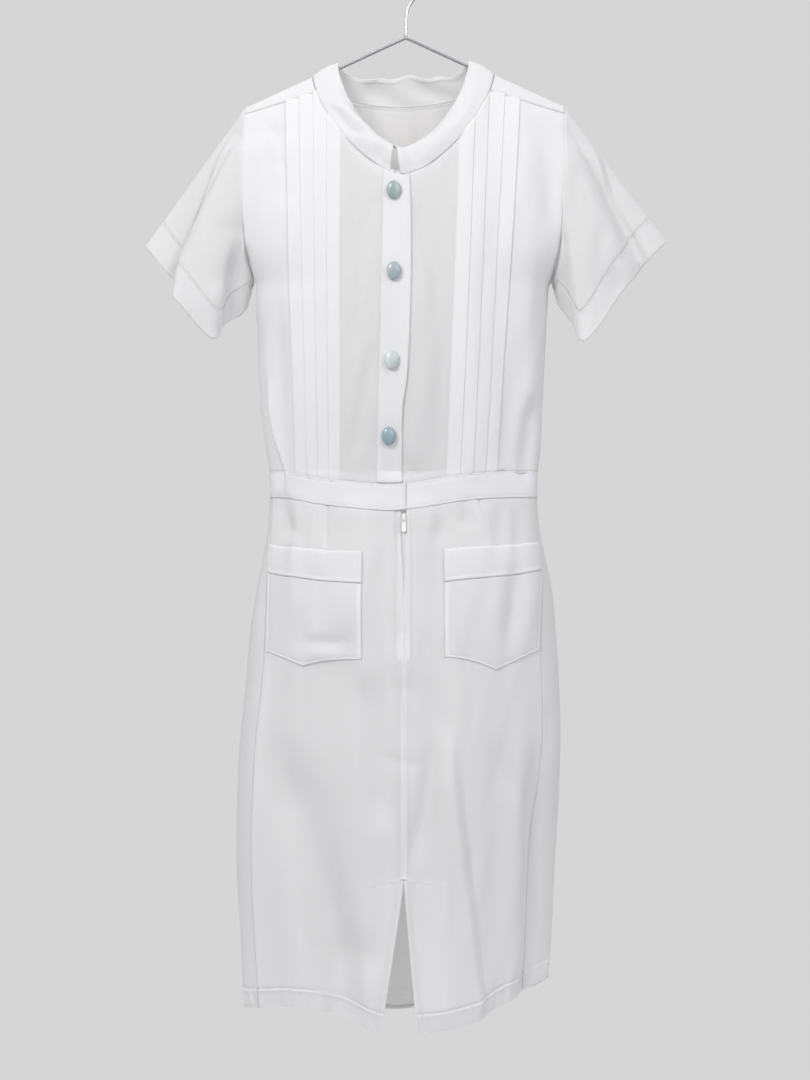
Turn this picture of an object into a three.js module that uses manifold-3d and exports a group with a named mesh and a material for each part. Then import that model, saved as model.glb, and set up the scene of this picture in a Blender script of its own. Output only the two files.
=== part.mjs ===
// Short-sleeved uniform dress on a wire hanger, built as its separate sewn pieces.
// Millimetres. +X is the viewer's right, -Y the front, +Z up; the origin is the bearing point inside the hook.
import * as THREE from "three";
import Module from "manifold-3d";

// Cloth: one layer, a doubled layer, and the space left at every seam
const CLOTH = 1.2;
const DOUBLED = 1.8;
const SEAM = 0.4;
const ON_TOP = CLOTH / 2 + SEAM;

// Wire hanger
const WIRE = 2;
const HOOK = { rail: 20, tip: 205, join: -40, stem: -64 };
const ARM = { apex: -87.4, slope: 0.462, reach: 178 };

// Shoulders: the cloth turns over the wire with this radius, then opens out over this distance
const RIDGE = 4;
const OPENING_OUT = 60;
const YOKE = { atNeck: 24, atSleeve: 8, neckX: 98, sleeveX: 185 };

// Neck and stand collar
const NECK = { middle: -3, half: 104, drop: 122, backDrop: 31, shape: 1.5 };
const COLLAR = { half: 75, rise: 2, drop: 104, backDrop: 17, front: 38, back: 19, shape: 1.6 };
const COLLAR_BELLY = 2.5;
const COLLAR_ENDS = { left: [-17.5, -16], right: [-6, -14.4] };

// Bodice outline by height: reach to the left and right, depth to the front and back
const ROUND = 2.2;
const UNDERARM = -368;
const BODICE = [
  { z: -110, left: 215, right: 208, front: 46, back: 40 },
  { z: -200, left: 215, right: 208, front: 54, back: 47 },
  { z: -280, left: 215, right: 208, front: 62, back: 54 },
  { z: -330, left: 200, right: 194, front: 66, back: 58 },
  { z: -368, left: 173, right: 166, front: 69, back: 61 },
  { z: -394, left: 172, right: 162, front: 70, back: 62 },
  { z: -430, left: 170, right: 160, front: 70, back: 63 },
  { z: -470, left: 169, right: 158, front: 69, back: 62 },
  { z: -516, left: 166, right: 156, front: 66, back: 60 },
  { z: -552, left: 162, right: 155, front: 62, back: 57 },
  { z: -586, left: 156, right: 151, front: 58, back: 54 },
];
const ARMHOLE = [
  { z: -165, left: 185, right: 183 },
  { z: -240, left: 186, right: 179 },
  { z: -300, left: 185, right: 177 },
  { z: -340, left: 180, right: 172 },
  { z: -368, left: 173, right: 166 },
];
const SIDE_SEAM = { waist: 80, hip: 61, hipZ: -800 };

// Tuck edges on each bodice front, from the centre outwards: where they meet the waist and the top
const TUCK_HEIGHT = 1.3;
const FRONT = {
  left: [
    { edge: "centre", waist: -18, top: -12 },
    { edge: "tuck", waist: -75, top: -74 },
    { edge: "tuck", waist: -87, top: -90 },
    { edge: "tuck", waist: -99, top: -106 },
    { edge: "tuck", waist: -111, top: -122 },
    { edge: "plain", waist: -124, top: -138 },
  ],
  right: [
    { edge: "centre", waist: -18, top: -12 },
    { edge: "tuck", waist: 46, top: 61 },
    { edge: "tuck", waist: 61, top: 78 },
    { edge: "tuck", waist: 75, top: 95 },
    { edge: "tuck", waist: 89, top: 113 },
    { edge: "plain", waist: 103, top: 130 },
  ],
};

// Placket and its domed buttons
const PLACKET = { waist: [-33.8, -2.3], neck: [-26, 4.5] };
const BUTTON = { width: 17, height: 19.5, thick: 6 };
const BUTTONS = [
  { x: -13.5, z: -271 },
  { x: -13.5, z: -363 },
  { x: -15.7, z: -463 },
  { x: -19, z: -548 },
];

// Waistband: its top edge dips at the middle of the front
const WAIST = { side: -586, dip: 15, dipX: -16, leftSpread: 100, rightSpread: 70, band: 30.5, lap: -3 };

// Skirt outline by height, and its largest folds by angle from the centre front
const SKIRT = [
  { z: -586, left: 156, right: 151, front: 58, back: 54 },
  { z: -616, left: 156, right: 150, front: 58, back: 54 },
  { z: -653, left: 158, right: 154, front: 64, back: 60 },
  { z: -676, left: 162, right: 158, front: 70, back: 66 },
  { z: -722, left: 171, right: 167, front: 80, back: 77 },
  { z: -768, left: 178, right: 171, front: 87, back: 84 },
  { z: -837, left: 184, right: 175, front: 92, back: 90 },
  { z: -906, left: 191, right: 176, front: 95, back: 93 },
  { z: -975, left: 194, right: 174, front: 95, back: 93 },
  { z: -1044, left: 194, right: 170, front: 92, back: 90 },
  { z: -1113, left: 190, right: 167, front: 88, back: 86 },
  { z: -1225, left: 184, right: 160, front: 83, back: 80 },
];
const FOLDS = [
  { top: -700, topAngle: -42, hemAngle: -19, width: 9, out: -6 },
  { top: -780, topAngle: 17, hemAngle: 31, width: 8, out: 5 },
  { top: -780, topAngle: 33, hemAngle: 46, width: 9, out: -5 },
  { top: -650, topAngle: -118, hemAngle: -128, width: 13, out: -8 },
  { top: -700, topAngle: -155, hemAngle: -150, width: 12, out: 5 },
  { top: -660, topAngle: 168, hemAngle: 172, width: 12, out: -6 },
  { top: -680, topAngle: 128, hemAngle: 134, width: 13, out: -7 },
];
const HEM = [
  { angle: -200, z: -1212 },
  { angle: -180, z: -1219 },
  { angle: -130, z: -1208 },
  { angle: -90, z: -1200 },
  { angle: -56, z: -1193 },
  { angle: -33, z: -1190 },
  { angle: -14, z: -1207 },
  { angle: -4, z: -1215 },
  { angle: 8, z: -1216 },
  { angle: 21, z: -1209 },
  { angle: 43, z: -1187 },
  { angle: 60, z: -1178 },
  { angle: 85, z: -1166 },
  { angle: 130, z: -1195 },
  { angle: 180, z: -1219 },
  { angle: 200, z: -1215 },
];

// Centre front: the opening left at the top of the zip, and the slit at the hem
const CENTRE = -2.5;
const ZIP = { open: 6.6, from: -655, closed: -735, tape: [-14, 9] };
const SLIT = { top: -1041, left: 26, right: 15, bottom: -1216 };

// Patch pockets, reaching to the side seams: x of the inner edge, and each line's z at the inner and outer edge
const POCKETS = {
  left: { inner: -49, top: [-678, -670], band: [-714, -702], bottom: [-798, -790], point: -806, at: 0.52 },
  right: { inner: 43, top: [-674, -667], band: [-711, -699], bottom: [-795, -789], point: -810, at: 0.44 },
};

// Sleeves: where the armhole is joined, and the hem, by share of a turn from the top round by the front
const CUFF = 35;
const SLEEVE_BULGE = 7;
const ARMHOLE_TURN = [
  { turn: -0.1, z: -183 },
  { turn: 0, z: -168 },
  { turn: 0.1, z: -178 },
  { turn: 0.185, z: -198 },
  { turn: 0.33, z: -280 },
  { turn: 0.42, z: -336 },
  { turn: 0.5, z: -368 },
  { turn: 0.62, z: -325 },
  { turn: 0.8, z: -220 },
  { turn: 0.9, z: -183 },
  { turn: 1, z: -168 },
  { turn: 1.1, z: -178 },
];
const SLEEVE_HEM = {
  left: [
    { turn: 0, x: -299, y: 2, z: -328 },
    { turn: 0.1, x: -276, y: -16, z: -356 },
    { turn: 0.165, x: -260, y: -18, z: -376 },
    { turn: 0.2, x: -259, y: -36, z: -390 },
    { turn: 0.27, x: -242, y: -43, z: -415 },
    { turn: 0.34, x: -218, y: -42, z: -437 },
    { turn: 0.42, x: -196, y: -24, z: -419 },
    { turn: 0.5, x: -183, y: -2, z: -399 },
    { turn: 0.62, x: -200, y: 26, z: -405 },
    { turn: 0.8, x: -250, y: 30, z: -372 },
  ],
  right: [
    { turn: 0, x: 299, y: 2, z: -323 },
    { turn: 0.08, x: 280, y: -16, z: -342 },
    { turn: 0.14, x: 268, y: -8, z: -355 },
    { turn: 0.21, x: 249, y: -30, z: -379 },
    { turn: 0.33, x: 203, y: -44, z: -439 },
    { turn: 0.42, x: 187, y: -25, z: -415 },
    { turn: 0.5, x: 175, y: -2, z: -394 },
    { turn: 0.62, x: 192, y: 26, z: -402 },
    { turn: 0.8, x: 246, y: 30, z: -366 },
  ],
};

// Zip slider and its hanging pull tab
const SLIDER = { width: 4.6, tall: 9, z: -641, proud: 1.4, crown: 2.2, bar: 0.8, crownWide: 1.6, crownHalf: 2 };
const PULL = { width: 5.4, long: 15.5, thick: 1, eye: 3.9, eyeWide: 3, bar: 0.5 };

const { abs, sin, cos, asin, exp, min, max, sign, sqrt, hypot, PI } = Math;
const { lerp, clamp, smoothstep, degToRad, radToDeg } = THREE.MathUtils;
const point = (x, y, z) => new THREE.Vector3(x, y, z);
const steps = (count) => Array.from({ length: count + 1 }, (_, i) => i / count);
const facing = { left: -1, right: 1 };
const hump = (away, width) => exp(-((away / width) ** 2));
const power = (value, exponent) => sign(value) * abs(value) ** exponent;

// Reads a named column of a table, curving smoothly through its rows
function read(table, key, at, name) {
  const down = sign(table[1][key] - table[0][key]);
  let i = 0;
  while (i < table.length - 2 && (table[i + 1][key] - at) * down < 0) i += 1;
  const slope = (j) => {
    const a = table[max(j - 1, 0)];
    const b = table[min(j + 1, table.length - 1)];
    return (b[name] - a[name]) / (b[key] - a[key]);
  };
  const span = table[i + 1][key] - table[i][key];
  const t = clamp((at - table[i][key]) / span, 0, 1);
  const rise = table[i + 1][name] - table[i][name];
  const start = slope(i) * span;
  const end = slope(i + 1) * span;
  return table[i][name] + t * start + t * t * (3 * rise - 2 * start - end) + t ** 3 * (start + end - 2 * rise);
}

function section(table, z) {
  const left = read(table, "z", z, "left");
  const right = read(table, "z", z, "right");
  return {
    middle: (right - left) / 2,
    half: (right + left) / 2,
    front: read(table, "z", z, "front"),
    back: read(table, "z", z, "back"),
  };
}

const angleOf = (across) => radToDeg(asin(clamp(abs(across), 0, 1) ** (ROUND / 2))) * sign(across);
const acrossOf = (angle) => power(sin(degToRad(angle)), 2 / ROUND);

// Shoulder ridge, and how far the bodice stands in front of or behind the hanger
const ridge = (x) => ARM.apex - ARM.slope * abs(x) + RIDGE;

function depth(x, z, side) {
  const s = section(BODICE, z);
  const across = clamp(abs(x - s.middle) / s.half, 0, 1);
  const below = max(ridge(x) - z, 0);
  const overWire = RIDGE * sqrt(1 - (1 - min(below / RIDGE, 1)) ** 2) * exp(-below / OPENING_OUT);
  return overWire + s[side] * (1 - across ** ROUND) ** (1 / ROUND) * (1 - exp(-below / OPENING_OUT));
}

const frontAt = (x, z) => point(x, -depth(x, z, "front"), z);

function waistZ(x) {
  const spread = x < WAIST.dipX ? WAIST.leftSpread : WAIST.rightSpread;
  return WAIST.side - WAIST.dip * hump(x - WAIST.dipX, spread) * clamp((145 - abs(x)) / 40, 0, 1);
}

function seamAngle(z) {
  return lerp(SIDE_SEAM.waist, SIDE_SEAM.hip, smoothstep(-z, -WAIST.side, -SIDE_SEAM.hipZ));
}

// Side edge of the bodice: the armhole above the underarm, the side seam below it
function bodiceSideAngle(z) {
  return lerp(SIDE_SEAM.waist, 90, smoothstep(z, WAIST.side, UNDERARM));
}

function sideX(side, z) {
  if (z > UNDERARM) return facing[side] * read(ARMHOLE, "z", z, side);
  const s = section(BODICE, z);
  return s.middle + facing[side] * s.half * acrossOf(bodiceSideAngle(z));
}

// Neck seam by angle: 0 at the viewer's right, 90 at the front, 180 at the left, -90 at the back
function neckAt(angle) {
  const c = cos(degToRad(angle));
  const s = sin(degToRad(angle));
  const front = s > 0;
  const across = power(c, front ? 2 / NECK.shape : 1);
  const x = NECK.middle + NECK.half * across;
  const sideZ = lerp(ridge(NECK.middle - NECK.half), ridge(NECK.middle + NECK.half), (across + 1) / 2);
  const z = min(front ? sideZ - NECK.drop * s ** (2 / NECK.shape) : sideZ + NECK.backDrop * s, ridge(x));
  const y = depth(x, z, front ? "front" : "back");
  return point(x, front ? -y : y, z);
}

const neckAngle = (x) => radToDeg(Math.acos(power((x - NECK.middle) / NECK.half, NECK.shape / 2)));
const yokeDrop = (x) =>
  lerp(YOKE.atNeck, YOKE.atSleeve, clamp((abs(x) - YOKE.neckX) / (YOKE.sleeveX - YOKE.neckX), 0, 1));

// Angle on the neck where the forward shoulder seam starts
function cornerAngle(side) {
  let low = 0;
  let high = 60;
  for (let i = 0; i < 30; i += 1) {
    const middle = (low + high) / 2;
    const p = neckAt(side === "right" ? middle : 180 - middle);
    if (ridge(p.x) - p.z < yokeDrop(p.x)) low = middle;
    else high = middle;
  }
  return low;
}
const CORNER = { left: cornerAngle("left"), right: cornerAngle("right") };
const cornerX = (side) => neckAt(side === "right" ? CORNER.right : 180 - CORNER.left).x;

function frontTopZ(side, x) {
  const outside = (x - cornerX(side)) * facing[side] > 0;
  return outside ? ridge(x) - yokeDrop(x) : neckAt(neckAngle(x)).z;
}

// Point on a bodice front: c is the x at the waist, or past the last tuck a share of the way to the side
function bodiceFrontAt(side, c, v) {
  const rows = FRONT[side];
  const last = rows.at(-1);
  const beyond = (c - last.waist) * facing[side];
  const rowTop = (x) => {
    let i = 0;
    while (i < rows.length - 2 && (x - rows[i + 1].waist) * facing[side] > 0) i += 1;
    const t = (x - rows[i].waist) / (rows[i + 1].waist - rows[i].waist);
    return lerp(rows[i].top, rows[i + 1].top, t);
  };
  if (beyond <= 0) {
    const top = rowTop(c);
    const x = lerp(c, top, v);
    return frontAt(x, lerp(waistZ(c) + SEAM, frontTopZ(side, top) - SEAM, v));
  }
  const share = beyond / 100;
  const waistX = lerp(last.waist, sideX(side, WAIST.side), share);
  const topX = lerp(last.top, sideX(side, ARMHOLE[0].z), share);
  const z = lerp(waistZ(waistX) + SEAM, frontTopZ(side, topX) - SEAM, v);
  return frontAt(lerp(lerp(last.waist, last.top, v), sideX(side, z) - facing[side] * SEAM / 2, share), z);
}

// Columns of a bodice front, with the raised outer height of the tucks
function bodiceFrontColumns(side) {
  const rows = FRONT[side];
  const columns = [0, 0.14, 0.27, 0.5, 0.75, 0.98].map((t) => ({ c: lerp(rows[0].waist, rows[1].waist, t), raise: 0 }));
  columns[0].c += facing[side] * SEAM / 2;
  rows.slice(1, -1).forEach((row, i) => {
    const next = rows[i + 2].waist;
    columns.push({ c: row.waist, raise: 0.15 });
    columns.push({ c: lerp(row.waist, next, 0.5), raise: TUCK_HEIGHT * 0.7 });
    columns.push({ c: lerp(row.waist, next, 0.95), raise: TUCK_HEIGHT });
  });
  const last = rows.at(-1).waist;
  for (const share of [0, 0.22, 0.44, 0.62, 0.77, 0.88, 0.96, 1]) {
    columns.push({ c: last + facing[side] * 100 * share, raise: 0 });
  }
  return columns;
}

// Back of the bodice. Heights are paths below the ridge: under zero at the back, over zero on the front
const BACK_NECK = 0.52;
const BACK_CORNER = 0.6;

function backTop(c) {
  const side = c < 0 ? "left" : "right";
  const share = abs(c);
  const yoke = clamp((share - BACK_CORNER) / (1 - BACK_CORNER), 0, 1);
  const collar = clamp((share - BACK_NECK) / (BACK_CORNER - BACK_NECK), 0, 1);
  const crossing = NECK.middle + facing[side] * (NECK.half + SEAM + 3 * collar);
  const tip = sideX(side, ARMHOLE[0].z) - facing[side] * SEAM;
  const ridgeX = lerp(crossing, tip, yoke);
  if (yoke > 0) {
    const x = lerp(cornerX(side) + facing[side] * SEAM, tip, yoke);
    return { side, x, path: yokeDrop(x) - SEAM / 2, over: true, ridgeX };
  }
  const angle = collar > 0 ? CORNER[side] * collar : -90 + (90 * share) / BACK_NECK;
  const p = neckAt(side === "right" ? angle : 180 - angle);
  const x = p.x + SEAM * cos(degToRad(angle)) * facing[side];
  const path = (ridge(p.x) - p.z) * (angle < 0 ? -1 : 1) + SEAM * min(sin(degToRad(angle)), 0);
  return { side, x, path, over: collar > 0, ridgeX };
}

const OVER_RIDGE = [-14, -8, -3.6, -1.05, 0, 0.25, 0.6];
const BELOW_NECK = [-14, -11, -8, -6, -4, -2.5, -1.2];

// Angle from the middle of the back to the side seam or armhole
function backEdge(side, z) {
  if (z < UNDERARM) return 180 - bodiceSideAngle(z) - 0.1;
  const s = section(BODICE, z);
  return abs(angleOf((sideX(side, z) - s.middle) / s.half)) - 0.1;
}

// Rows up to lowerRows climb the back; the rest turn over the ridge, or end at the neck
function bodiceBackAt(c, row, lowerRows) {
  const top = backTop(c);
  const goalX = top.over ? top.ridgeX : top.x;
  const goal = top.over ? 0 : top.path;
  const base = WAIST.side + SEAM - ridge(goalX);
  const stop = (i) => {
    if (!top.over) return top.path + (i < BELOW_NECK.length ? BELOW_NECK[i] : 0);
    if (i >= OVER_RIDGE.length) return top.path;
    return OVER_RIDGE[i] > 0 ? OVER_RIDGE[i] * min(top.path, 6) : OVER_RIDGE[i];
  };
  const upper = max(row - lowerRows, 0);
  const low = min(Math.floor(upper), OVER_RIDGE.length - 1);
  const path = row < lowerRows ? lerp(base, stop(0), row / lowerRows) : lerp(stop(low), stop(low + 1), upper - low);
  if (path > 0) {
    const x = lerp(goalX, top.x, path / top.path);
    return frontAt(x, ridge(x) - path);
  }
  const z0 = ridge(goalX) + path;
  const s = section(BODICE, z0);
  const edge = backEdge(top.side, z0);
  const topAngle = clamp(angleOf((goalX - s.middle) / s.half), -edge, edge);
  const angle = lerp(c * edge, topAngle, smoothstep((path - base) / (goal - base), 0, 1));
  const x = s.middle + s.half * acrossOf(angle);
  const z = path < -20 ? z0 : ridge(x) + path;
  return abs(angle) > 90 ? frontAt(x, z) : point(x, depth(x, z, "back"), z);
}

// Skirt and waistband: a point by angle from the centre front and height
function skirtAt(angle, z) {
  const s = section(SKIRT, z);
  const turned = ((angle + 540) % 360) - 180;
  const fold = FOLDS.reduce((sum, f) => {
    const down = clamp((f.top - z) / (f.top + 1215), 0, 1);
    const away = ((turned - lerp(f.topAngle, f.hemAngle, down) + 540) % 360) - 180;
    return sum + f.out * smoothstep(down, 0, 0.35) * hump(away, f.width);
  }, 0);
  const out = degToRad(angle);
  const deep = cos(out) > 0 ? s.front : s.back;
  return point(
    s.middle + s.half * acrossOf(angle) + fold * sin(out),
    -deep * power(cos(out), 2 / ROUND) - fold * cos(out),
    z,
  );
}

function skirtAngle(x, z) {
  const s = section(SKIRT, z);
  return angleOf((x - s.middle) / s.half);
}

const skirtTop = (angle) => {
  const x = skirtAt(angle, WAIST.side).x;
  return (abs(angle) < 90 ? waistZ(x) : WAIST.side) - WAIST.band;
};
const hemZ = (angle) => read(HEM, "angle", angle, "z");

// X of one edge of the centre front: apart at the zip's top and below the top of the slit
function centreEdge(side, z) {
  const zip = ZIP.open * (1 - smoothstep(-z, -ZIP.from, -ZIP.closed));
  const slit = clamp((SLIT.top - z) / (SLIT.top - SLIT.bottom), 0, 1);
  return CENTRE + facing[side] * (SEAM / 2 + zip / 2 + SLIT[side] * slit ** 1.1);
}

function skirtFrontAt(side, u, v) {
  const rough = lerp(skirtTop(0), SLIT.bottom, v);
  const place = (z) => lerp(skirtAngle(centreEdge(side, z), z), facing[side] * (seamAngle(z) - 0.15), u);
  const angle = place(rough);
  const z = lerp(skirtTop(angle) - SEAM, hemZ(angle), v);
  return skirtAt(place(z), z);
}

function skirtBackAt(u, v) {
  const edge = (z) => seamAngle(z) + 0.15;
  const around = (z) => lerp(edge(z), 360 - edge(z), u);
  const angle = around(lerp(WAIST.side, -1195, v));
  const z = lerp(skirtTop(angle > 180 ? angle - 360 : angle) - SEAM, hemZ(angle > 180 ? angle - 360 : angle), v);
  return skirtAt(around(z), z);
}

function waistbandAt(angle, v) {
  const x = skirtAt(angle, WAIST.side).x;
  const top = abs(angle) < 90 ? waistZ(x) : WAIST.side;
  return skirtAt(angle, top - SEAM / 2 - (WAIST.band - SEAM) * v);
}

function pocketAt(side, u, upper, lower, v) {
  const p = POCKETS[side];
  const z = lerp(upper(u), lower(u), v);
  const inner = skirtAngle(p.inner, z);
  return skirtAt(lerp(inner, facing[side] * (seamAngle(z) - 1.2), u), z);
}

function pocketBottom(p, u) {
  const toPoint = u < p.at ? u / p.at : (1 - u) / (1 - p.at);
  return lerp(lerp(p.bottom[0], p.bottom[1], u), p.point, toPoint ** 1.5);
}

// Sleeve: the armhole and the hem by share of a turn, and a point on the cloth between them
function armholeAt(side, turn) {
  const wrapped = (turn + 1) % 1;
  const z = read(ARMHOLE_TURN, "turn", wrapped, "z");
  const x = sideX(side, min(z, ARMHOLE[0].z));
  const y = depth(x, min(z, ridge(x)), wrapped < 0.5 ? "front" : "back");
  return point(x, wrapped < 0.5 ? -y : y, min(z, ridge(x)));
}

function sleeveHemAt(side, turn) {
  const rows = SLEEVE_HEM[side];
  const tail = rows.slice(-2).map((r) => ({ ...r, turn: r.turn - 1 }));
  const head = rows.slice(0, 2).map((r) => ({ ...r, turn: r.turn + 1 }));
  const loop = [...tail, ...rows, ...head];
  const wrapped = (turn + 1) % 1;
  return point(...["x", "y", "z"].map((name) => read(loop, "turn", wrapped, name)));
}

function sleeveAt(side, turn, along) {
  const start = armholeAt(side, turn);
  const under = 1 - smoothstep(abs(((turn + 1) % 1) - 0.5), 0.05, 0.3);
  start.x += facing[side] * (SEAM + 1.6 * under);
  const p = start.lerp(sleeveHemAt(side, turn), along);
  const wrapped = (turn + 1) % 1;
  p.y += SLEEVE_BULGE * sin(PI * along) * (hump(wrapped - 0.72, 0.12) - hump(wrapped - 0.32, 0.1));
  return p;
}

function cuffStart(side, turn) {
  const length = armholeAt(side, turn).distanceTo(sleeveHemAt(side, turn));
  return max(1 - CUFF / length, 0.2);
}

// Collar: from the neck seam up to a top edge that leans in towards the neck
function collarTop(angle) {
  const c = cos(degToRad(angle));
  const s = sin(degToRad(angle));
  const front = s > 0;
  const across = power(c, front ? 2 / COLLAR.shape : 1);
  const x = NECK.middle + COLLAR.half * across;
  const sideZ = lerp(ridge(NECK.middle - COLLAR.half), ridge(NECK.middle + COLLAR.half), (across + 1) / 2);
  const z = sideZ + COLLAR.rise - (front ? COLLAR.drop * s ** (2 / COLLAR.shape) : -COLLAR.backDrop * s);
  return point(x, front ? -COLLAR.front * s ** 0.8 : -COLLAR.back * power(s, 0.8), z);
}

// Stations run from 90 at the left end, past 180 over the left shoulder, round the back and on to 450 at the right end
function collarAt(station, v) {
  const endAngle = (side) => {
    const x = lerp(COLLAR_ENDS[side][0], COLLAR_ENDS[side][1], v);
    const half = lerp(NECK.half, COLLAR.half, v);
    const shape = lerp(NECK.shape, COLLAR.shape, v);
    return radToDeg(Math.acos(power((x - NECK.middle) / half, shape / 2)));
  };
  let angle = station;
  if (station < 150) angle = lerp(endAngle("left"), 150, (station - 90) / 60);
  if (station > 390) angle = lerp(390, 360 + endAngle("right"), (station - 390) / 60);
  const turned = angle > 180 ? angle - 360 : angle;
  const p = neckAt(turned).lerp(collarTop(turned), lerp(0.02, 1, v));
  const belly = COLLAR_BELLY * sin(PI * v);
  const out = sin(degToRad(turned));
  p.y -= belly * out;
  p.z += belly * (1 - abs(out));
  return p;
}
const frontStations = [90, 97, 105, 114, 124, 134, 144, 154, 163, 171, 176, 178.4, 180];
const backStations = [181.6, 184, 189, 197, 208, 222, 238, 254, 270];
const halfStations = [...frontStations, ...backStations];
const collarStations = [...halfStations, ...halfStations.slice(0, -1).map((a) => 540 - a).reverse()];

// Closed wall between an outer and an inner grid of points; a looped wall joins its last column to its first
function closedWall(outer, inner, looped) {
  const rows = outer.length;
  const columns = outer[0].length;
  const positions = [...outer, ...inner].flat().flatMap((p) => [p.x, p.y, p.z]);
  const faces = [];
  const quad = (a, b, c, d) => faces.push(a, b, c, a, c, d);
  const at = (layer, r, c) => layer * rows * columns + r * columns + (c % columns);
  const spans = looped ? columns : columns - 1;
  for (let r = 0; r < rows - 1; r += 1) {
    for (let c = 0; c < spans; c += 1) {
      quad(at(0, r, c), at(0, r, c + 1), at(0, r + 1, c + 1), at(0, r + 1, c));
      quad(at(1, r, c), at(1, r + 1, c), at(1, r + 1, c + 1), at(1, r, c + 1));
    }
  }
  for (let c = 0; c < spans; c += 1) {
    quad(at(0, 0, c), at(1, 0, c), at(1, 0, c + 1), at(0, 0, c + 1));
    quad(at(0, rows - 1, c), at(0, rows - 1, c + 1), at(1, rows - 1, c + 1), at(1, rows - 1, c));
  }
  for (let r = 0; r < rows - 1 && !looped; r += 1) {
    quad(at(0, r, 0), at(0, r + 1, 0), at(1, r + 1, 0), at(1, r, 0));
    quad(at(0, r, spans), at(1, r, spans), at(1, r + 1, spans), at(0, r + 1, spans));
  }
  return outward(positions, faces);
}

// Turns the faces outwards when the enclosed volume comes out negative
function outward(positions, faces) {
  const at = (i) => point(...positions.slice(3 * i, 3 * i + 3));
  let volume = 0;
  for (let i = 0; i < faces.length; i += 3) {
    volume += at(faces[i]).dot(at(faces[i + 1]).cross(at(faces[i + 2])));
  }
  const turned = volume > 0 ? faces : faces.map((_, i) => faces[i - (i % 3) + [0, 2, 1][i % 3]]);
  const geometry = new THREE.BufferGeometry();
  geometry.setAttribute("position", new THREE.Float32BufferAttribute(positions, 3));
  geometry.setIndex(turned);
  return geometry;
}

// Wall of cloth on a surface: lift is from the surface to the inner face, raise adds to the outer face only
function cloth({ surface, columns, rows, out, thick = CLOTH, lift = -thick / 2, raise = () => 0, looped = false }) {
  const small = 0.02;
  const normal = (c, r) => {
    const ends = (list, i, loop) => {
      const before = list[max(i - 1, 0)];
      const after = list[min(i + 1, list.length - 1)];
      const low = loop || i > 0 ? lerp(list[i], before === list[i] ? list[i] - 1 / list.length : before, small) : list[i];
      const high =
        loop || i < list.length - 1
          ? lerp(list[i], after === list[i] ? list[i] + 1 / list.length : after, small)
          : list[i];
      return [low, high];
    };
    const [c0, c1] = ends(columns, c, looped);
    const [r0, r1] = ends(rows, r, false);
    const along = surface(c1, rows[r]).sub(surface(c0, rows[r]));
    const up = surface(columns[c], r1).sub(surface(columns[c], r0));
    return along.cross(up).normalize().multiplyScalar(out);
  };
  const outer = rows.map(() => []);
  const inner = rows.map(() => []);
  rows.forEach((row, r) => {
    columns.forEach((column, c) => {
      const p = surface(column, row);
      const n = normal(c, r);
      outer[r].push(p.clone().addScaledVector(n, lift + thick + raise(c, r)));
      inner[r].push(p.clone().addScaledVector(n, lift));
    });
  });
  return closedWall(outer, inner, looped);
}

// Materials
const colours = {
  cloth: 0xf4f5f6,
  doubled: 0xffffff,
  button: 0x9fb8b5,
  steel: 0xb9bcc0,
  zip: 0xeceae2,
};
const materials = Object.fromEntries(
  Object.entries(colours).map(([name, color]) => [
    name,
    new THREE.MeshStandardMaterial({ name, color, roughness: name === "steel" ? 0.3 : 0.8, metalness: name === "steel" ? 1 : 0 }),
  ]),
);

const dress = new THREE.Group();
function add(name, geometry, material) {
  const mesh = new THREE.Mesh(geometry, materials[material]);
  mesh.name = name;
  dress.add(mesh);
}

// Joins for the hard pieces
const wasm = await Module();
wasm.setup();
const { Manifold, Mesh } = wasm;

function solid(geometry) {
  const source = geometry.index ? geometry.toNonIndexed() : geometry;
  const found = new Map();
  const vertices = [];
  const triangles = [];
  const p = source.attributes.position;
  for (let i = 0; i < p.count; i += 1) {
    const place = [p.getX(i), p.getY(i), p.getZ(i)];
    const key = place.map((n) => Math.round(n * 1e4)).join();
    if (!found.has(key)) {
      found.set(key, vertices.length / 3);
      vertices.push(...place);
    }
    triangles.push(found.get(key));
  }
  const whole = [];
  for (let i = 0; i < triangles.length; i += 3) {
    const [a, b, c] = triangles.slice(i, i + 3);
    if (a !== b && b !== c && a !== c) whole.push(a, b, c);
  }
  const mesh = new Mesh({
    numProp: 3,
    vertProperties: new Float32Array(vertices),
    triVerts: new Uint32Array(whole),
  });
  return new Manifold(mesh);
}

function joined(...geometries) {
  const mesh = Manifold.union(geometries.map(solid)).getMesh();
  const geometry = new THREE.BufferGeometry();
  geometry.setAttribute("position", new THREE.Float32BufferAttribute(mesh.vertProperties, 3));
  geometry.setIndex([...mesh.triVerts]);
  return geometry;
}

function box(x, y, z, wide, deep, tall) {
  return new THREE.BoxGeometry(wide, deep, tall).translate(x, y, z);
}

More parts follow.
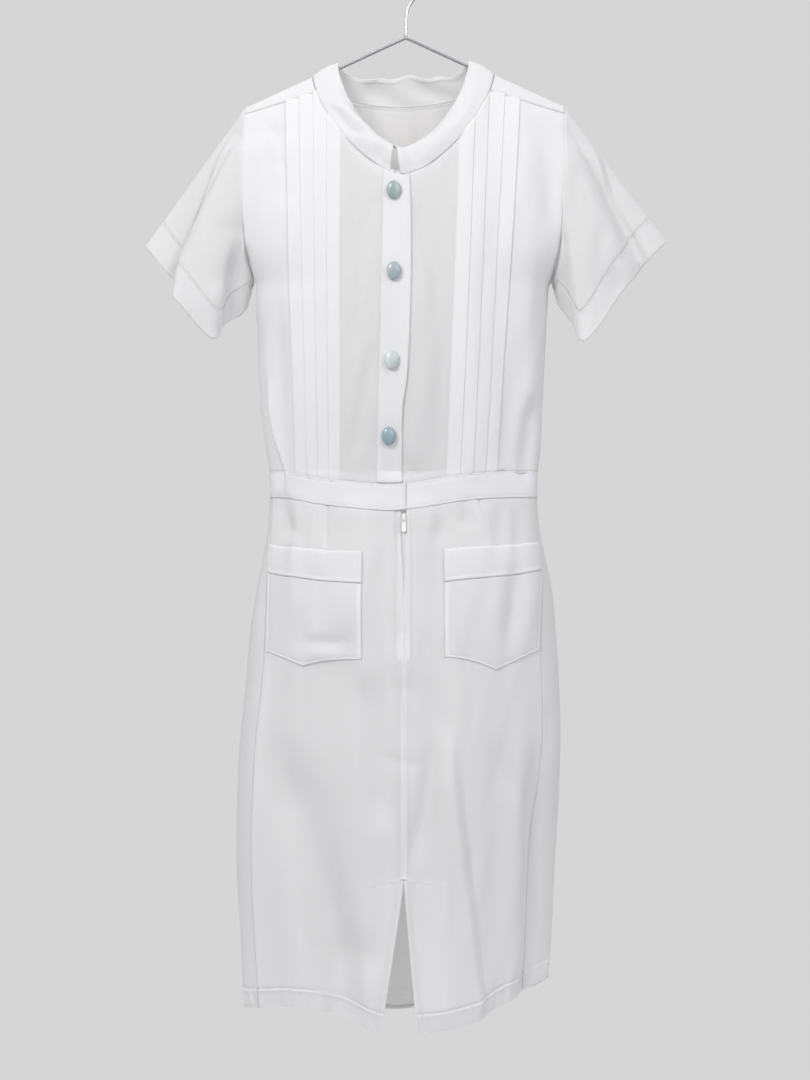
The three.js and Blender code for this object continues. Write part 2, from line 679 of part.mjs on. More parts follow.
// Hanger: hook and stem as one bent wire, and two straight arms with round ends
function hanger() {
  const ring = HOOK.rail + WIRE;
  const onRing = (degrees) => point(ring * cos(degToRad(degrees)), 0, ring * sin(degToRad(degrees)) - HOOK.rail);
  const path = [point(0, 0, ARM.apex), point(0, 0, lerp(ARM.apex, HOOK.stem, 0.6)), point(0.6, 0, HOOK.stem)];
  for (const t of steps(12)) path.push(onRing(lerp(HOOK.join, HOOK.tip, t)));
  const round = new THREE.Shape().absarc(0, 0, WIRE, 0, 2 * PI);
  const bent = new THREE.ExtrudeGeometry(round, {
    steps: 34,
    curveSegments: 4,
    bevelEnabled: false,
    extrudePath: new THREE.CatmullRomCurve3(path),
  });
  const pieces = [bent, new THREE.SphereGeometry(WIRE, 8, 5).translate(...onRing(HOOK.tip).toArray())];
  const length = ARM.reach * hypot(1, ARM.slope);
  for (const side of [-1, 1]) {
    const lean = side * (PI / 2 + Math.atan(ARM.slope));
    const arm = new THREE.CapsuleGeometry(WIRE, length, 2, 8, 1).translate(0, length / 2, 0).rotateX(PI / 2);
    pieces.push(arm.rotateY(lean).translate(0, 0, ARM.apex));
  }
  return joined(...pieces);
}

// Domed button on its shank, facing the front
function button({ x, z }) {
  const r = BUTTON.width / 2;
  const t = BUTTON.thick;
  const profile = [
    [0, -1.2], [r * 0.35, -1.2], [r * 0.35, 0], [r * 0.86, 0.2], [r, t * 0.28],
    [r * 0.97, t * 0.42], [r * 0.8, t * 0.7], [r * 0.5, t * 0.92], [0, t],
  ].map(([a, b]) => new THREE.Vector2(a, b));
  const turned = joined(new THREE.LatheGeometry(profile, 14));
  const seat = depth(x, z, "front") + ON_TOP + DOUBLED + 2 * SEAM + 1.2;
  return turned.scale(1, 1, BUTTON.height / BUTTON.width).rotateX(PI).translate(x, -seat, z);
}

// The pieces
add("hanger", hanger(), "steel");

add("collar_band", cloth({
  surface: collarAt, columns: collarStations, rows: [0, 0.33, 0.67, 1], out: -1, thick: DOUBLED, lift: -CLOTH / 2,
}), "doubled");

for (const side of ["left", "right"]) {
  const columns = bodiceFrontColumns(side);
  add(`bodice_front_${side}`, cloth({
    surface: (c, v) => bodiceFrontAt(side, c, v),
    columns: columns.map((column) => column.c),
    rows: steps(10),
    out: facing[side],
    raise: (c) => columns[c].raise,
  }), "cloth");
}

const LOWER_ROWS = 7;
const backRows = Array.from({ length: LOWER_ROWS + OVER_RIDGE.length + 1 }, (_, i) => i);
const backShares = [0, 0.12, 0.24, 0.35, 0.43, 0.48, 0.507, 0.52, 0.53, 0.545, 0.565, 0.6, 0.72, 0.84, 0.94, 1];
add("bodice_back", cloth({
  surface: (c, r) => bodiceBackAt(c, r, LOWER_ROWS),
  columns: [...backShares.slice(1).map((c) => -c).reverse(), ...backShares],
  rows: backRows,
  out: -1,
}), "cloth");

add("placket", cloth({
  surface: (u, v) => {
    const x = lerp(lerp(PLACKET.waist[0], PLACKET.waist[1], u), lerp(PLACKET.neck[0], PLACKET.neck[1], u), v);
    return frontAt(x, lerp(waistZ(x) + SEAM, neckAt(neckAngle(x)).z - SEAM, v));
  },
  columns: steps(3), rows: steps(10), out: 1, thick: DOUBLED, lift: ON_TOP,
}), "doubled");
BUTTONS.forEach((place, i) => add(`button_${i + 1}`, button(place), "button"));

for (const side of ["left", "right"]) {
  const turns = steps(28).slice(0, -1);
  const gap = SEAM / 60;
  add(`sleeve_${side}`, cloth({
    surface: (turn, v) => sleeveAt(side, turn, (cuffStart(side, turn) - gap) * v),
    columns: turns, rows: steps(5), out: facing[side], looped: true,
  }), "cloth");
  add(`cuff_${side}`, cloth({
    surface: (turn, v) => sleeveAt(side, turn, lerp(cuffStart(side, turn) + gap, 1, v)),
    columns: turns, rows: steps(2), out: facing[side], thick: DOUBLED, looped: true,
  }), "doubled");
}

const lapAngle = skirtAngle(WAIST.lap, WAIST.side);
const bandSeam = SIDE_SEAM.waist;
const bands = {
  left: [-bandSeam + 0.1, lapAngle - 0.1],
  right: [lapAngle + 0.1, bandSeam - 0.1],
  back: [bandSeam + 0.1, 360 - bandSeam - 0.1],
};
for (const [name, [from, to]] of Object.entries(bands)) {
  add(`waistband_${name}`, cloth({
    surface: (u, v) => {
      const angle = lerp(from, to, u);
      return waistbandAt(angle > 180 ? angle - 360 : angle, 1 - v);
    },
    columns: steps(name === "back" ? 24 : 12), rows: [0, 0.15, 0.85, 1], out: 1, thick: DOUBLED, lift: -DOUBLED / 3,
  }), "doubled");
}

for (const side of ["left", "right"]) {
  add(`skirt_front_${side}`, cloth({
    surface: (u, v) => skirtFrontAt(side, u, 1 - v),
    columns: steps(13), rows: steps(11), out: facing[side],
  }), "cloth");
}
add("skirt_back", cloth({
  surface: (u, v) => skirtBackAt(u, 1 - v), columns: steps(34), rows: steps(11), out: 1,
}), "cloth");

for (const side of ["left", "right"]) {
  const p = POCKETS[side];
  const line = (pair) => (u) => lerp(pair[0], pair[1], u);
  const lower = (u) => line(p.band)(u) - SEAM;
  add(`pocket_${side}`, cloth({
    surface: (u, v) => pocketAt(side, u, lower, (s) => pocketBottom(p, s), 1 - v),
    columns: steps(10), rows: steps(5), out: facing[side], lift: ON_TOP,
  }), "cloth");
  add(`pocket_band_${side}`, cloth({
    surface: (u, v) => pocketAt(side, u, line(p.top), line(p.band), 1 - v),
    columns: steps(10), rows: steps(3), out: facing[side], thick: DOUBLED, lift: ON_TOP,
  }), "doubled");
}

// Zip: tape behind the centre front, slider in the opening, pull tab on the slider's crown
add("zip_tape", cloth({
  surface: (u, v) => {
    const x = lerp(ZIP.tape[0], ZIP.tape[1], u);
    const z = lerp(hemZ(0), skirtTop(0) - SEAM, v);
    return skirtAt(skirtAngle(x, z), z);
  },
  columns: steps(4), rows: [0.645, 8 / 11, 9 / 11, 10 / 11, 0.995], out: 1, thick: 1, lift: -ON_TOP - 1,
}), "zip");

// Slider and tab are drawn upright with the cloth's face at y = 0, then leaned to lie along the cloth
const zipAt = (z) => skirtAt(skirtAngle(CENTRE, z), z);
const zipFace = zipAt(SLIDER.z);
const lean = Math.atan((zipFace.y - zipAt(SLIDER.z - PULL.long).y) / PULL.long);
const onZip = (geometry) => geometry.rotateX(-lean).translate(...zipFace.toArray());

const sliderFront = -CLOTH / 2 - SLIDER.proud;
const legDeep = SLIDER.crown + SLIDER.bar + 0.5;
const legZ = SLIDER.crownHalf + SLIDER.bar / 2;
const leg = (z) => box(0, sliderFront + 0.5 - legDeep / 2, z, SLIDER.crownWide, legDeep, SLIDER.bar);
add("zip_slider", onZip(joined(
  box(0, sliderFront / 2, 0, SLIDER.width, -sliderFront, SLIDER.tall),
  box(0, sliderFront - SLIDER.crown - SLIDER.bar / 2, 0, SLIDER.crownWide, SLIDER.bar, 2 * legZ + SLIDER.bar),
  leg(legZ),
  leg(-legZ),
)), "zip");

const tab = new THREE.Shape();
const half = PULL.width / 2;
tab.moveTo(-half, PULL.bar);
tab.lineTo(-half, 2 - PULL.long);
tab.quadraticCurveTo(-half, -PULL.long, 0, -PULL.long);
tab.quadraticCurveTo(half, -PULL.long, half, 2 - PULL.long);
tab.lineTo(half, PULL.bar);
const eye = new THREE.Path();
eye.moveTo(-PULL.eyeWide / 2, -PULL.bar);
eye.lineTo(PULL.eyeWide / 2, -PULL.bar);
eye.lineTo(PULL.eyeWide / 2, -PULL.eye);
eye.lineTo(-PULL.eyeWide / 2, -PULL.eye);
tab.holes.push(eye);
const plate = new THREE.ExtrudeGeometry(tab, { depth: PULL.thick, bevelEnabled: false, curveSegments: 6 });
plate.translate(0, 0, -PULL.thick / 2).rotateX(PI / 2).translate(0, sliderFront - SLIDER.crown / 2, 0);
add("zip_pull", onZip(joined(plate)), "zip");

export default dress;
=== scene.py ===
# Look of a short-sleeved uniform dress on a wire hanger: draped cloth, sewing, buttons, zip and studio.
# Millimetres until a mesh is made. +X is the viewer's right, -Y the front and +Z up.
# The origin is inside the hook.
import math

import bpy
import numpy as np
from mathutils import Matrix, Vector


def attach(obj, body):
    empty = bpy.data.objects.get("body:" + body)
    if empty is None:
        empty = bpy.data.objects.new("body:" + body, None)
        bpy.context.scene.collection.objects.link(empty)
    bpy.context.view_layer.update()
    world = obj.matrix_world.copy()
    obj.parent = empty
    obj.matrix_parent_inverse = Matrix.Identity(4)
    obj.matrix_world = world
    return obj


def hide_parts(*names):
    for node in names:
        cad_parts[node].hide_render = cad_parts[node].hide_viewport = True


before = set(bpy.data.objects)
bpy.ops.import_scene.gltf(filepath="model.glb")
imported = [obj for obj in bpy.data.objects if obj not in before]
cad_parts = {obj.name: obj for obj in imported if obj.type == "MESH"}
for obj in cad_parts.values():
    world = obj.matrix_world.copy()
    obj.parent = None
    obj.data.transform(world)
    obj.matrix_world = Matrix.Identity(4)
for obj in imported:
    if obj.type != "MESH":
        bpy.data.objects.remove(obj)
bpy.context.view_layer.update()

MM = 0.001
FACING = {"left": -1, "right": 1}
SIDES = ("left", "right")


def table(columns, *rows):
    """A short table as arrays by column name."""
    return {name: np.array(values, float) for name, values in zip(columns.split(), zip(*rows))}


# Cloth: the wall that the solids allow for, the thinner shell that shows, and the space at every seam
WALL = 1.2
DOUBLED_WALL = 1.8
SHELL = 0.6
DOUBLED_SHELL = 1.2
SEAM = 0.4
ON_TOP = WALL / 2 + SEAM
DOUBLED_CLOTH = {"wall": DOUBLED_WALL, "shell": DOUBLED_SHELL}
MESH = 2.8
# How far an edge runs on behind its neighbour, how far behind it starts, and how much further back it ends
UNDER = 5
BEHIND = {"near": 0.4, "further": 0.5}
# The dip at a seam and the ridge beside it, the groove and ridge along stitches, and the puckers there
SEAM_LINE = {"dip": 0.25, "dip_wide": 1.4, "ridge": 0.3, "ridge_at": 3.2, "ridge_wide": 1.5}
STITCH_LINE = {"groove": 0.55, "groove_wide": 1.3, "ridge": 0.35, "ridge_in": 2.4, "ridge_wide": 1.5}
PUCKER = {"wave": 3.1, "sway": 17, "least": 0.1, "growth": 0.035}
STITCH = {"pitch": 3.0, "half_long": 1.15, "half_wide": 0.3, "high": 0.25}

# Wire hanger
WIRE = 2
HOOK = {"rail": 20, "tip": 205, "join": -40, "stem": -64, "lean": 0.6, "rise": 14, "lead": 12}
ARM = {"apex": -87.4, "slope": 0.462, "reach": 178}

# Shoulders, neck and stand collar
RIDGE = 4
OPENING_OUT = 60
YOKE = {"at_neck": 24, "at_sleeve": 8, "neck_x": 98, "sleeve_x": 185}
NECK = {"middle": -3, "half": 104, "drop": 122, "back_drop": 31, "shape": 1.5}
COLLAR = {
    "half": 75, "rise": 2, "drop": 104, "back_drop": 17, "front": 38, "back": 19, "shape": 1.6, "round": 0.8,
}
COLLAR_BELLY = 2.5
COLLAR_ENDS = {"left": (-17.5, -16), "right": (-6, -14.4)}
# Stations round the collar, in degrees from the left end over the back to the right end
STATIONS = {"first": 90, "back": 270, "last": 450, "front": 60}
# Slack of the collar: a peak and sags along its back edge, a roll at the front, and the pull of its creases
COLLAR_SLACK = {"peak": 5, "sag": 3, "wave": 1.2, "roll": 10, "loose": 2.5, "creased": 1.7}
NECK_HOOK = {"stations": (93.0, 447.0), "height": 0.9, "proud": 3, "wire": 0.7, "bow": 0.8}

# Bodice outline by height: reach to the left and right, depth to the front and back
ROUND = 2.2
UNDERARM = -368
BODICE = table(
    "z left right front back",
    (-110, 215, 208, 46, 40),
    (-200, 215, 208, 54, 47),
    (-280, 215, 208, 62, 54),
    (-330, 200, 194, 66, 58),
    (-368, 173, 166, 69, 61),
    (-394, 172, 162, 70, 62),
    (-430, 170, 160, 70, 63),
    (-470, 169, 158, 69, 62),
    (-516, 166, 156, 66, 60),
    (-552, 162, 155, 62, 57),
    (-586, 156, 151, 58, 54),
)
ARMHOLE = table(
    "z left right",
    (-165, 185, 183),
    (-240, 186, 179),
    (-300, 185, 177),
    (-340, 180, 172),
    (-368, 173, 166),
)
SIDE_SEAM = {"waist": 80, "hip": 61, "hip_z": -800}

# Tuck edges on each bodice front from the centre outwards: x at the waist and at the top
TUCK_HEIGHT = 1.5
FRONT = {
    "left": table("waist top", (-18, -12), (-75, -74), (-87, -90), (-99, -106), (-111, -122), (-124, -138)),
    "right": table("waist top", (-18, -12), (46, 61), (61, 78), (75, 95), (89, 113), (103, 130)),
}

# Placket: its left edge, and a free right edge that pulls away below the third button
PLACKET_LEFT = {"waist": -33.8, "neck": -26}
PLACKET_EDGE = table(
    "z x flare",
    (-200, 4.5, 0),
    (-258, 4.5, 0.2),
    (-323, 6, 0.4),
    (-413, 4.5, 0.6),
    (-485, 0.5, 1.4),
    (-516, -4, 1.6),
    (-560, -4.5, 0.8),
    (-602, -4.5, 0),
)
BUTTON = {"width": 16, "height": 20.6, "thick": 5, "shank": 1.2, "tilt_x": -0.2, "tilt_z": 0.15}
BUTTONS = table("x z", (-13.5, -271), (-13.5, -363), (-15.7, -463), (-19, -548))

# Waistband: its top edge dips at the middle of the front
WAIST = {
    "side": -586, "dip": 15, "dip_x": -16, "left": 100, "right": 70, "level_x": 145, "fade": 40,
    "band": 30.5, "lap": -3,
}

# Skirt outline by height, its largest folds by angle from the centre front, and its hem
SKIRT = table(
    "z left right front back",
    (-586, 156, 151, 58, 54),
    (-616, 156, 150, 58, 54),
    (-653, 158, 154, 64, 60),
    (-676, 162, 158, 70, 66),
    (-722, 171, 167, 80, 77),
    (-768, 178, 171, 87, 84),
    (-837, 184, 175, 92, 90),
    (-906, 191, 176, 95, 93),
    (-975, 194, 174, 95, 93),
    (-1044, 194, 170, 92, 90),
    (-1113, 190, 167, 88, 86),
    (-1225, 184, 160, 83, 80),
)
SKIRT_FOLDS = table(
    "top top_angle hem_angle width out",
    (-700, -42, -19, 9, -6),
    (-780, 17, 31, 8, 5),
    (-780, 33, 46, 9, -5),
    (-650, -118, -128, 13, -8),
    (-700, -155, -150, 12, 5),
    (-660, 168, 172, 12, -6),
    (-680, 128, 134, 13, -7),
)
HEM = table(
    "angle z",
    (-200, -1212),
    (-180, -1219),
    (-130, -1208),
    (-90, -1200),
    (-56, -1193),
    (-33, -1190),
    (-14, -1207),
    (-4, -1215),
    (8, -1216),
    (21, -1209),
    (43, -1187),
    (60, -1178),
    (85, -1166),
    (130, -1195),
    (180, -1219),
    (200, -1215),
)
HEM_DEEP = 23
HEM_LEVEL = -1215
HEM_BACK = -1195

# Centre front: the opening left at the top of the zip, and the slit at the hem with its facings
CENTRE = -2.5
ZIP = {
    "open": 6.6, "from": -655, "closed": -735, "box": -768, "end": -797, "tape": (-14, 9),
    "stitches": (-8.5, 7),
}
SLIT = {"top": -1041, "left": 26, "right": 15, "bottom": -1216, "curve": 1.1, "stitch": 3}
FACING_WIDE = {"left": 44, "right": 49}
FACING_SLOPE = {"left": 0.2, "right": 0.14}
# Share of a second layer behind the skirt front, which paints it whiter; the single cloth round it keeps the
# painted shade of the dark inside
BEHIND_SKIRT = {
    "zip": 0.5, "zip_box": 1, "facing": 0.35, "slit_edge": 0.6, "facing_top": 1.1, "centre": 0.7, "dart": 0.5,
}
DARTS = table("top_x bottom_x top bottom wide", (-89, -91, -622, -673, -12), (83.5, 93, -622, -670, -9))

# Patch pockets that stop a little short of the side seams, in degrees
POCKETS = {
    "left": {
        "inner": -49, "top": (-678, -670), "band": (-714, -702), "bottom": (-798, -790), "point": -806,
        "point_at": 0.52,
    },
    "right": {
        "inner": 43, "top": (-674, -667), "band": (-711, -699), "bottom": (-795, -789), "point": -810,
        "point_at": 0.44,
    },
}
POCKET_SHORT = 1.2

# Sleeves: where the armhole is joined, and the hem, by share of a turn from the top round by the front
CUFF = 35
UNDERARM_GAP = 1.6
SLEEVE_BULGE = {"out": 7, "front_turn": 0.32, "front_wide": 0.1, "back_turn": 0.72, "back_wide": 0.12}
ARMHOLE_TURN = table(
    "turn z",
    (-0.1, -183),
    (0, -168),
    (0.1, -178),
    (0.185, -198),
    (0.33, -280),
    (0.42, -336),
    (0.5, -368),
    (0.62, -325),
    (0.8, -220),
    (0.9, -183),
    (1, -168),
    (1.1, -178),
)
SLEEVE_HEM = {
    "left": table(
        "turn x y z",
        (0, -299, 2, -328),
        (0.1, -276, -16, -356),
        (0.165, -260, -18, -376),
        (0.2, -259, -36, -390),
        (0.27, -242, -43, -415),
        (0.34, -218, -42, -437),
        (0.42, -196, -24, -419),
        (0.5, -183, -2, -399),
        (0.62, -200, 26, -405),
        (0.8, -250, 30, -372),
    ),
    "right": table(
        "turn x y z",
        (0, 299, 2, -323),
        (0.08, 280, -16, -342),
        (0.14, 268, -8, -355),
        (0.21, 249, -30, -379),
        (0.33, 203, -44, -439),
        (0.42, 187, -25, -415),
        (0.5, 175, -2, -394),
        (0.62, 192, 26, -402),
        (0.8, 246, 30, -366),
    ),
}


def crease(width, out, *path, side=0, edge=4, fade=(0.25, 0.25)):
    """A soft fold down a path of (x, z). With side 1 or -1 the cloth on that side stands over the rest."""
    return {"width": width, "out": out, "path": table("x z", *path), "side": side, "edge": edge, "fade": fade}


# Creases seen from the front: folds of the skirt, the bodice and the sleeves
FRONT_CREASES = [
    crease(26, -5, (-141, -870), (-122, -963), (-102, -1040), (-80, -1130), (-69, -1190), fade=(0.3, 0)),
    crease(40, 4, (49, -860), (62, -987), (71, -1062), (85, -1180), side=-1, edge=7, fade=(0.3, 0)),
    crease(15, -5, (150, -880), (150, -1021), (145, -1132), (141, -1180), fade=(0.4, 0)),
    crease(16, -2.4, (-49, -800), (-38, -887), (-29, -997)),
    crease(12, -1.8, (36, -860), (20, -977), (4, -1040), fade=(0.4, 0.3)),
    crease(12, -1, (87, -880), (112, -930), (140, -975), fade=(0.45, 0.45)),
    crease(13, -0.9, (17, -800), (34, -854), (53, -905), fade=(0.45, 0.45)),
    crease(9, -1.4, (-141, -618), (-134, -645), (-125, -669), fade=(0, 0.4)),
    crease(9, -1.4, (68, -618), (68, -657), fade=(0, 0.4)),
    crease(13, -1.1, (-46, -680), (-39, -723), (-24, -759), (-16, -805), fade=(0.35, 0.45)),
    crease(12, -1.1, (39, -630), (34, -690), (31, -770), fade=(0.2, 0.5)),
    crease(14, -1.7, (-106, -670), (-106, -733), (-118, -765), (-122, -812), fade=(0.35, 0.35)),
    crease(11, -1.6, (124, -680), (120, -745), (110, -800), fade=(0.35, 0.45)),
    crease(10, -1.6, (-147, -185), (-137, -296)),
    crease(8, -1.4, (-156, -180), (-145, -254)),
    crease(9, 4.5, (-160, -470), (-151, -540), (-137, -592), side=1, edge=3, fade=(0.4, 0)),
    crease(11, -2.6, (-145, -380), (-142, -507), (-138, -592), fade=(0.4, 0)),
    crease(7, -1.3, (-30, -425), (-48, -500), (-62, -585), fade=(0.3, 0.2)),
    crease(6, -1.1, (-40, -300), (-52, -380), (-64, -470), fade=(0.3, 0.3)),
    crease(6, -1.2, (12, -275), (24, -340), (40, -430), fade=(0.2, 0.4)),
    crease(6, -1, (-32, -272), (-46, -310), (-62, -360), fade=(0.2, 0.4)),
    crease(10, -3.5, (146, -490), (136, -592), fade=(0.4, 0)),
    crease(12, -1.8, (125, -410), (119, -541), (118, -592), fade=(0.4, 0)),
    crease(9, -1.2, (156, -205), (164, -320)),
    crease(34, 8, (-199, -196), (-217, -238), (-236, -293), (-249, -352), (-260, -392), side=1, edge=2,
           fade=(0.15, 0)),
    crease(12, -6, (-188, -320), (-193, -376), (-200, -430), fade=(0.4, 0)),
    crease(2.4, -2.6, (-200, -196), (-218, -238), (-237, -293), (-250, -352), (-261, -392), fade=(0.15, 0)),
    crease(12, -2.5, (-196, -290), (-205, -350), (-216, -392)),
    crease(34, 7, (214, -200), (240, -288), (268, -345), side=-1, edge=5, fade=(0.2, 0)),
    crease(8, -2, (218, -200), (244, -288), (272, -345), fade=(0.2, 0)),
    crease(11, -1.2, (190, -215), (192, -376), (196, -410), fade=(0.4, 0)),
    crease(9, -1, (181, -310), (174, -359), (165, -388)),
]
BACK_CREASES = [
    crease(22, -5, (-95, -250), (-82, -400), (-70, -592), fade=(0.4, 0)),
    crease(20, -4.5, (88, -260), (84, -420), (74, -592), fade=(0.4, 0)),
    crease(14, -3, (-20, -380), (-14, -592), fade=(0.5, 0)),
    crease(12, -3, (32, -430), (27, -592), fade=(0.5, 0)),
    crease(16, -3, (-130, -420), (-120, -592), fade=(0.5, 0)),
    crease(15, -3, (126, -430), (118, -592), fade=(0.5, 0)),
    crease(26, -6, (-70, -640), (-84, -900), (-92, -1220), fade=(0.3, 0)),
    crease(28, 5, (-10, -700), (4, -950), (10, -1220), fade=(0.4, 0)),
    crease(24, -6, (62, -650), (70, -900), (88, -1220), fade=(0.3, 0)),
    crease(20, -4, (-130, -760), (-128, -1000), (-134, -1220), fade=(0.4, 0)),
    crease(22, -4, (-215, -210), (-238, -300), (-262, -380), fade=(0.3, 0)),
    crease(20, -4, (212, -215), (236, -300), (258, -372), fade=(0.3, 0)),
]
COLLAR_CREASES = [
    crease(6, -2.2, (-88, -168), (-66, -196), (-46, -214)),
    crease(5, 1.6, (-76, -168), (-56, -194), (-38, -212)),
    crease(7, -2.4, (-32, -220), (-25, -240), (-20, -256), fade=(0.3, 0)),
    crease(8, -2.4, (3, -220), (12, -238), (26, -250)),
    crease(5, -1.8, (66, -150), (61, -178), (50, -200)),
    crease(6, -1.4, (40, -196), (24, -222), (6, -240)),
]
# Rounded dents and swellings on the front: place, half width, half height and how far out
DENTS = table(
    "x z wide tall out",
    (-4, -831, 14, 9, -0.5),
    (6, -914, 13, 8, -0.5),
    (-16, -909, 14, 8, -0.5),
    (-90, -779, 24, 7, -0.9),
    (-88, -794, 22, 9, 1),
    (-66, -742, 24, 30, 1.6),
    (-55, -1128, 26, 22, -1.6),
    (-14, -585, 12, 10, -2),
    (10, -585, 14, 12, -1.6),
)
# How the drape is scaled, and where it is flattened: near the side seams, the waist and the shoulders
RIPPLE = {"out": 1.7, "waves": 16, "short": 16, "long": 75, "lean": 0.2, "front_seed": 3, "back_seed": 8}
FOLDS = {"bodice": 2.0, "skirt": 3.2}
GATHERS = {"deep": 1.5, "long": 65, "start": 25, "wave": 5.5, "swing": 2.2, "sway": 19}
FLAT = {"side": 25, "waist": 0.75, "waist_low": 5, "waist_tall": 24, "ridge": 4, "shoulder": 50}

# Colours, and the share of light that passes through the cloth. Single cloth is painted greyer than doubled
# cloth: painted shade of the dark inside that shows through one layer
SHADED_SINGLE_WHITE = (0.87, 0.87, 0.872)
DOUBLE_WHITE = (0.90, 0.90, 0.91)
THROUGH_WHITE = (0.93, 0.92, 0.90)
LIGHT_THROUGH = {"single": 0.38, "doubled": 0.2}
WEAVE = {"Scale": 0.55, "Distortion": 1.2, "Detail Scale": 2.0}

# Studio: soft light from all round, brighter from above, the grey seen behind, the floor and the camera
AMBIENT = {"below": 0.22, "above": 0.92, "tint": (0.935, 0.942, 1.0)}
BACKDROP = 0.672
FLOOR = {"z": -1620, "inner": 20, "outer": 1250, "dark": (0.62, 0.62, 0.62), "light": (0.68, 0.68, 0.68)}
CAMERA = {"x": -1.15, "y": -2800, "z": -664.7, "lens": 81.16, "sensor": 36}
# Lamps: name, place, aim, size, power and tint, in metres and watts
LIGHTS = [
    ("key", (-1.25, -1.9, 0.85), (0, 0, -0.45), 0.8, 29, (1, 0.985, 0.955)),
    ("fill", (1.5, -2.0, 0.5), (0, 0, -0.5), 1.6, 18, (1, 0.99, 0.975)),
    ("back", (0.2, 2.2, 0.5), (0, 0, -0.7), 1.8, 34, (1, 0.985, 0.955)),
]


def lerp(a, b, t):
    return a + (b - a) * t


def smooth(at, low, high):
    t = np.clip((at - low) / (high - low), 0, 1)
    return t * t * (3 - 2 * t)


def hump(away, width):
    return np.exp(-((away / width) ** 2))


def power(value, exponent):
    return np.sign(value) * np.abs(value) ** exponent


def place(x, y, z):
    return np.stack(np.broadcast_arrays(x, y, z), axis=-1).astype(float)


def unit(vectors):
    return vectors / np.maximum(np.linalg.norm(vectors, axis=-1, keepdims=True), 1e-9)


def steps(count):
    return np.linspace(0, 1, int(count) + 1)


def read(rows, key, at, name):
    """Reads one column of a table, curving smoothly through its rows."""
    k, v = rows[key], rows[name]
    if k[0] > k[-1]:
        k, v = k[::-1], v[::-1]
    index = np.arange(len(k))
    before, after = np.maximum(index - 1, 0), np.minimum(index + 1, len(k) - 1)
    slope = (v[after] - v[before]) / (k[after] - k[before])
    i = np.clip(np.searchsorted(k, at) - 1, 0, len(k) - 2)
    span = k[i + 1] - k[i]
    t = np.clip((at - k[i]) / span, 0, 1)
    rise = v[i + 1] - v[i]
    start, end = slope[i] * span, slope[i + 1] * span
    return v[i] + t * start + t**2 * (3 * rise - 2 * start - end) + t**3 * (start + end - 2 * rise)


# Forms of the dress, the same as the solids'
def section(outline, z):
    left, right = read(outline, "z", z, "left"), read(outline, "z", z, "right")
    return {
        "middle": (right - left) / 2,
        "half": (right + left) / 2,
        "front": read(outline, "z", z, "front"),
        "back": read(outline, "z", z, "back"),
    }


def angle_of(across):
    return np.degrees(np.arcsin(np.clip(np.abs(across), 0, 1) ** (ROUND / 2))) * np.sign(across)


def across_of(angle):
    return power(np.sin(np.radians(angle)), 2 / ROUND)


def ridge(x):
    return ARM["apex"] - ARM["slope"] * np.abs(x) + RIDGE


def depth(x, z, side):
    s = section(BODICE, z)
    across = np.clip(np.abs(x - s["middle"]) / s["half"], 0, 1)
    below = np.maximum(ridge(x) - z, 0)
    over_wire = RIDGE * np.sqrt(1 - (1 - np.minimum(below / RIDGE, 1)) ** 2) * np.exp(-below / OPENING_OUT)
    opened = s[side] * (1 - across**ROUND) ** (1 / ROUND) * (1 - np.exp(-below / OPENING_OUT))
    return over_wire + opened


def front_at(x, z):
    return place(x, -depth(x, z, "front"), z)


def waist_z(x):
    spread = np.where(x < WAIST["dip_x"], WAIST["left"], WAIST["right"])
    fade = np.clip((WAIST["level_x"] - np.abs(x)) / WAIST["fade"], 0, 1)
    return WAIST["side"] - WAIST["dip"] * hump(x - WAIST["dip_x"], spread) * fade


def seam_angle(z):
    return lerp(SIDE_SEAM["waist"], SIDE_SEAM["hip"], smooth(-z, -WAIST["side"], -SIDE_SEAM["hip_z"]))


def bodice_side_angle(z):
    return lerp(SIDE_SEAM["waist"], 90, smooth(z, WAIST["side"], UNDERARM))


def side_x(side, z):
    s = section(BODICE, z)
    seam = s["middle"] + FACING[side] * s["half"] * across_of(bodice_side_angle(z))
    return np.where(z > UNDERARM, FACING[side] * read(ARMHOLE, "z", z, side), seam)


def neck_ring(angle, ring):
    """A ring by angle: 0 at the viewer's right, 90 at the front, 180 at the left and -90 at the back."""
    c, s = np.cos(np.radians(angle)), np.sin(np.radians(angle))
    front = s > 0
    across = np.where(front, power(c, 2 / ring["shape"]), c)
    ends = [ridge(NECK["middle"] + end * ring["half"]) for end in (-1, 1)]
    return s, front, NECK["middle"] + ring["half"] * across, lerp(*ends, (across + 1) / 2)


def neck_at(angle):
    """Neck seam, where the collar is sewn on."""
    s, front, x, side_z = neck_ring(angle, NECK)
    drop = np.where(front, -NECK["drop"] * np.abs(s) ** (2 / NECK["shape"]), NECK["back_drop"] * s)
    z = np.minimum(side_z + drop, ridge(x))
    return place(x, np.where(front, -depth(x, z, "front"), depth(x, z, "back")), z)


def neck_angle(x):
    across = power((x - NECK["middle"]) / NECK["half"], NECK["shape"] / 2)
    return np.degrees(np.arccos(np.clip(across, -1, 1)))


def yoke_drop(x):
    share = (np.abs(x) - YOKE["neck_x"]) / (YOKE["sleeve_x"] - YOKE["neck_x"])
    return lerp(YOKE["at_neck"], YOKE["at_sleeve"], np.clip(share, 0, 1))


def corner_angle(side):
    """Angle on the neck where the forward shoulder seam starts."""
    low, high = 0.0, 60.0
    for _ in range(30):
        middle = (low + high) / 2
        x, _, z = neck_at(middle if side == "right" else 180 - middle)
        if ridge(x) - z < yoke_drop(x):
            low = middle
        else:
            high = middle
    return low


CORNER = {side: corner_angle(side) for side in SIDES}
CORNER_X = {side: neck_at(CORNER[side] if side == "right" else 180 - CORNER[side])[0] for side in SIDES}


def front_top_z(side, x):
    outside = (x - CORNER_X[side]) * FACING[side] > 0
    return np.where(outside, ridge(x) - yoke_drop(x), neck_at(neck_angle(x))[..., 2])


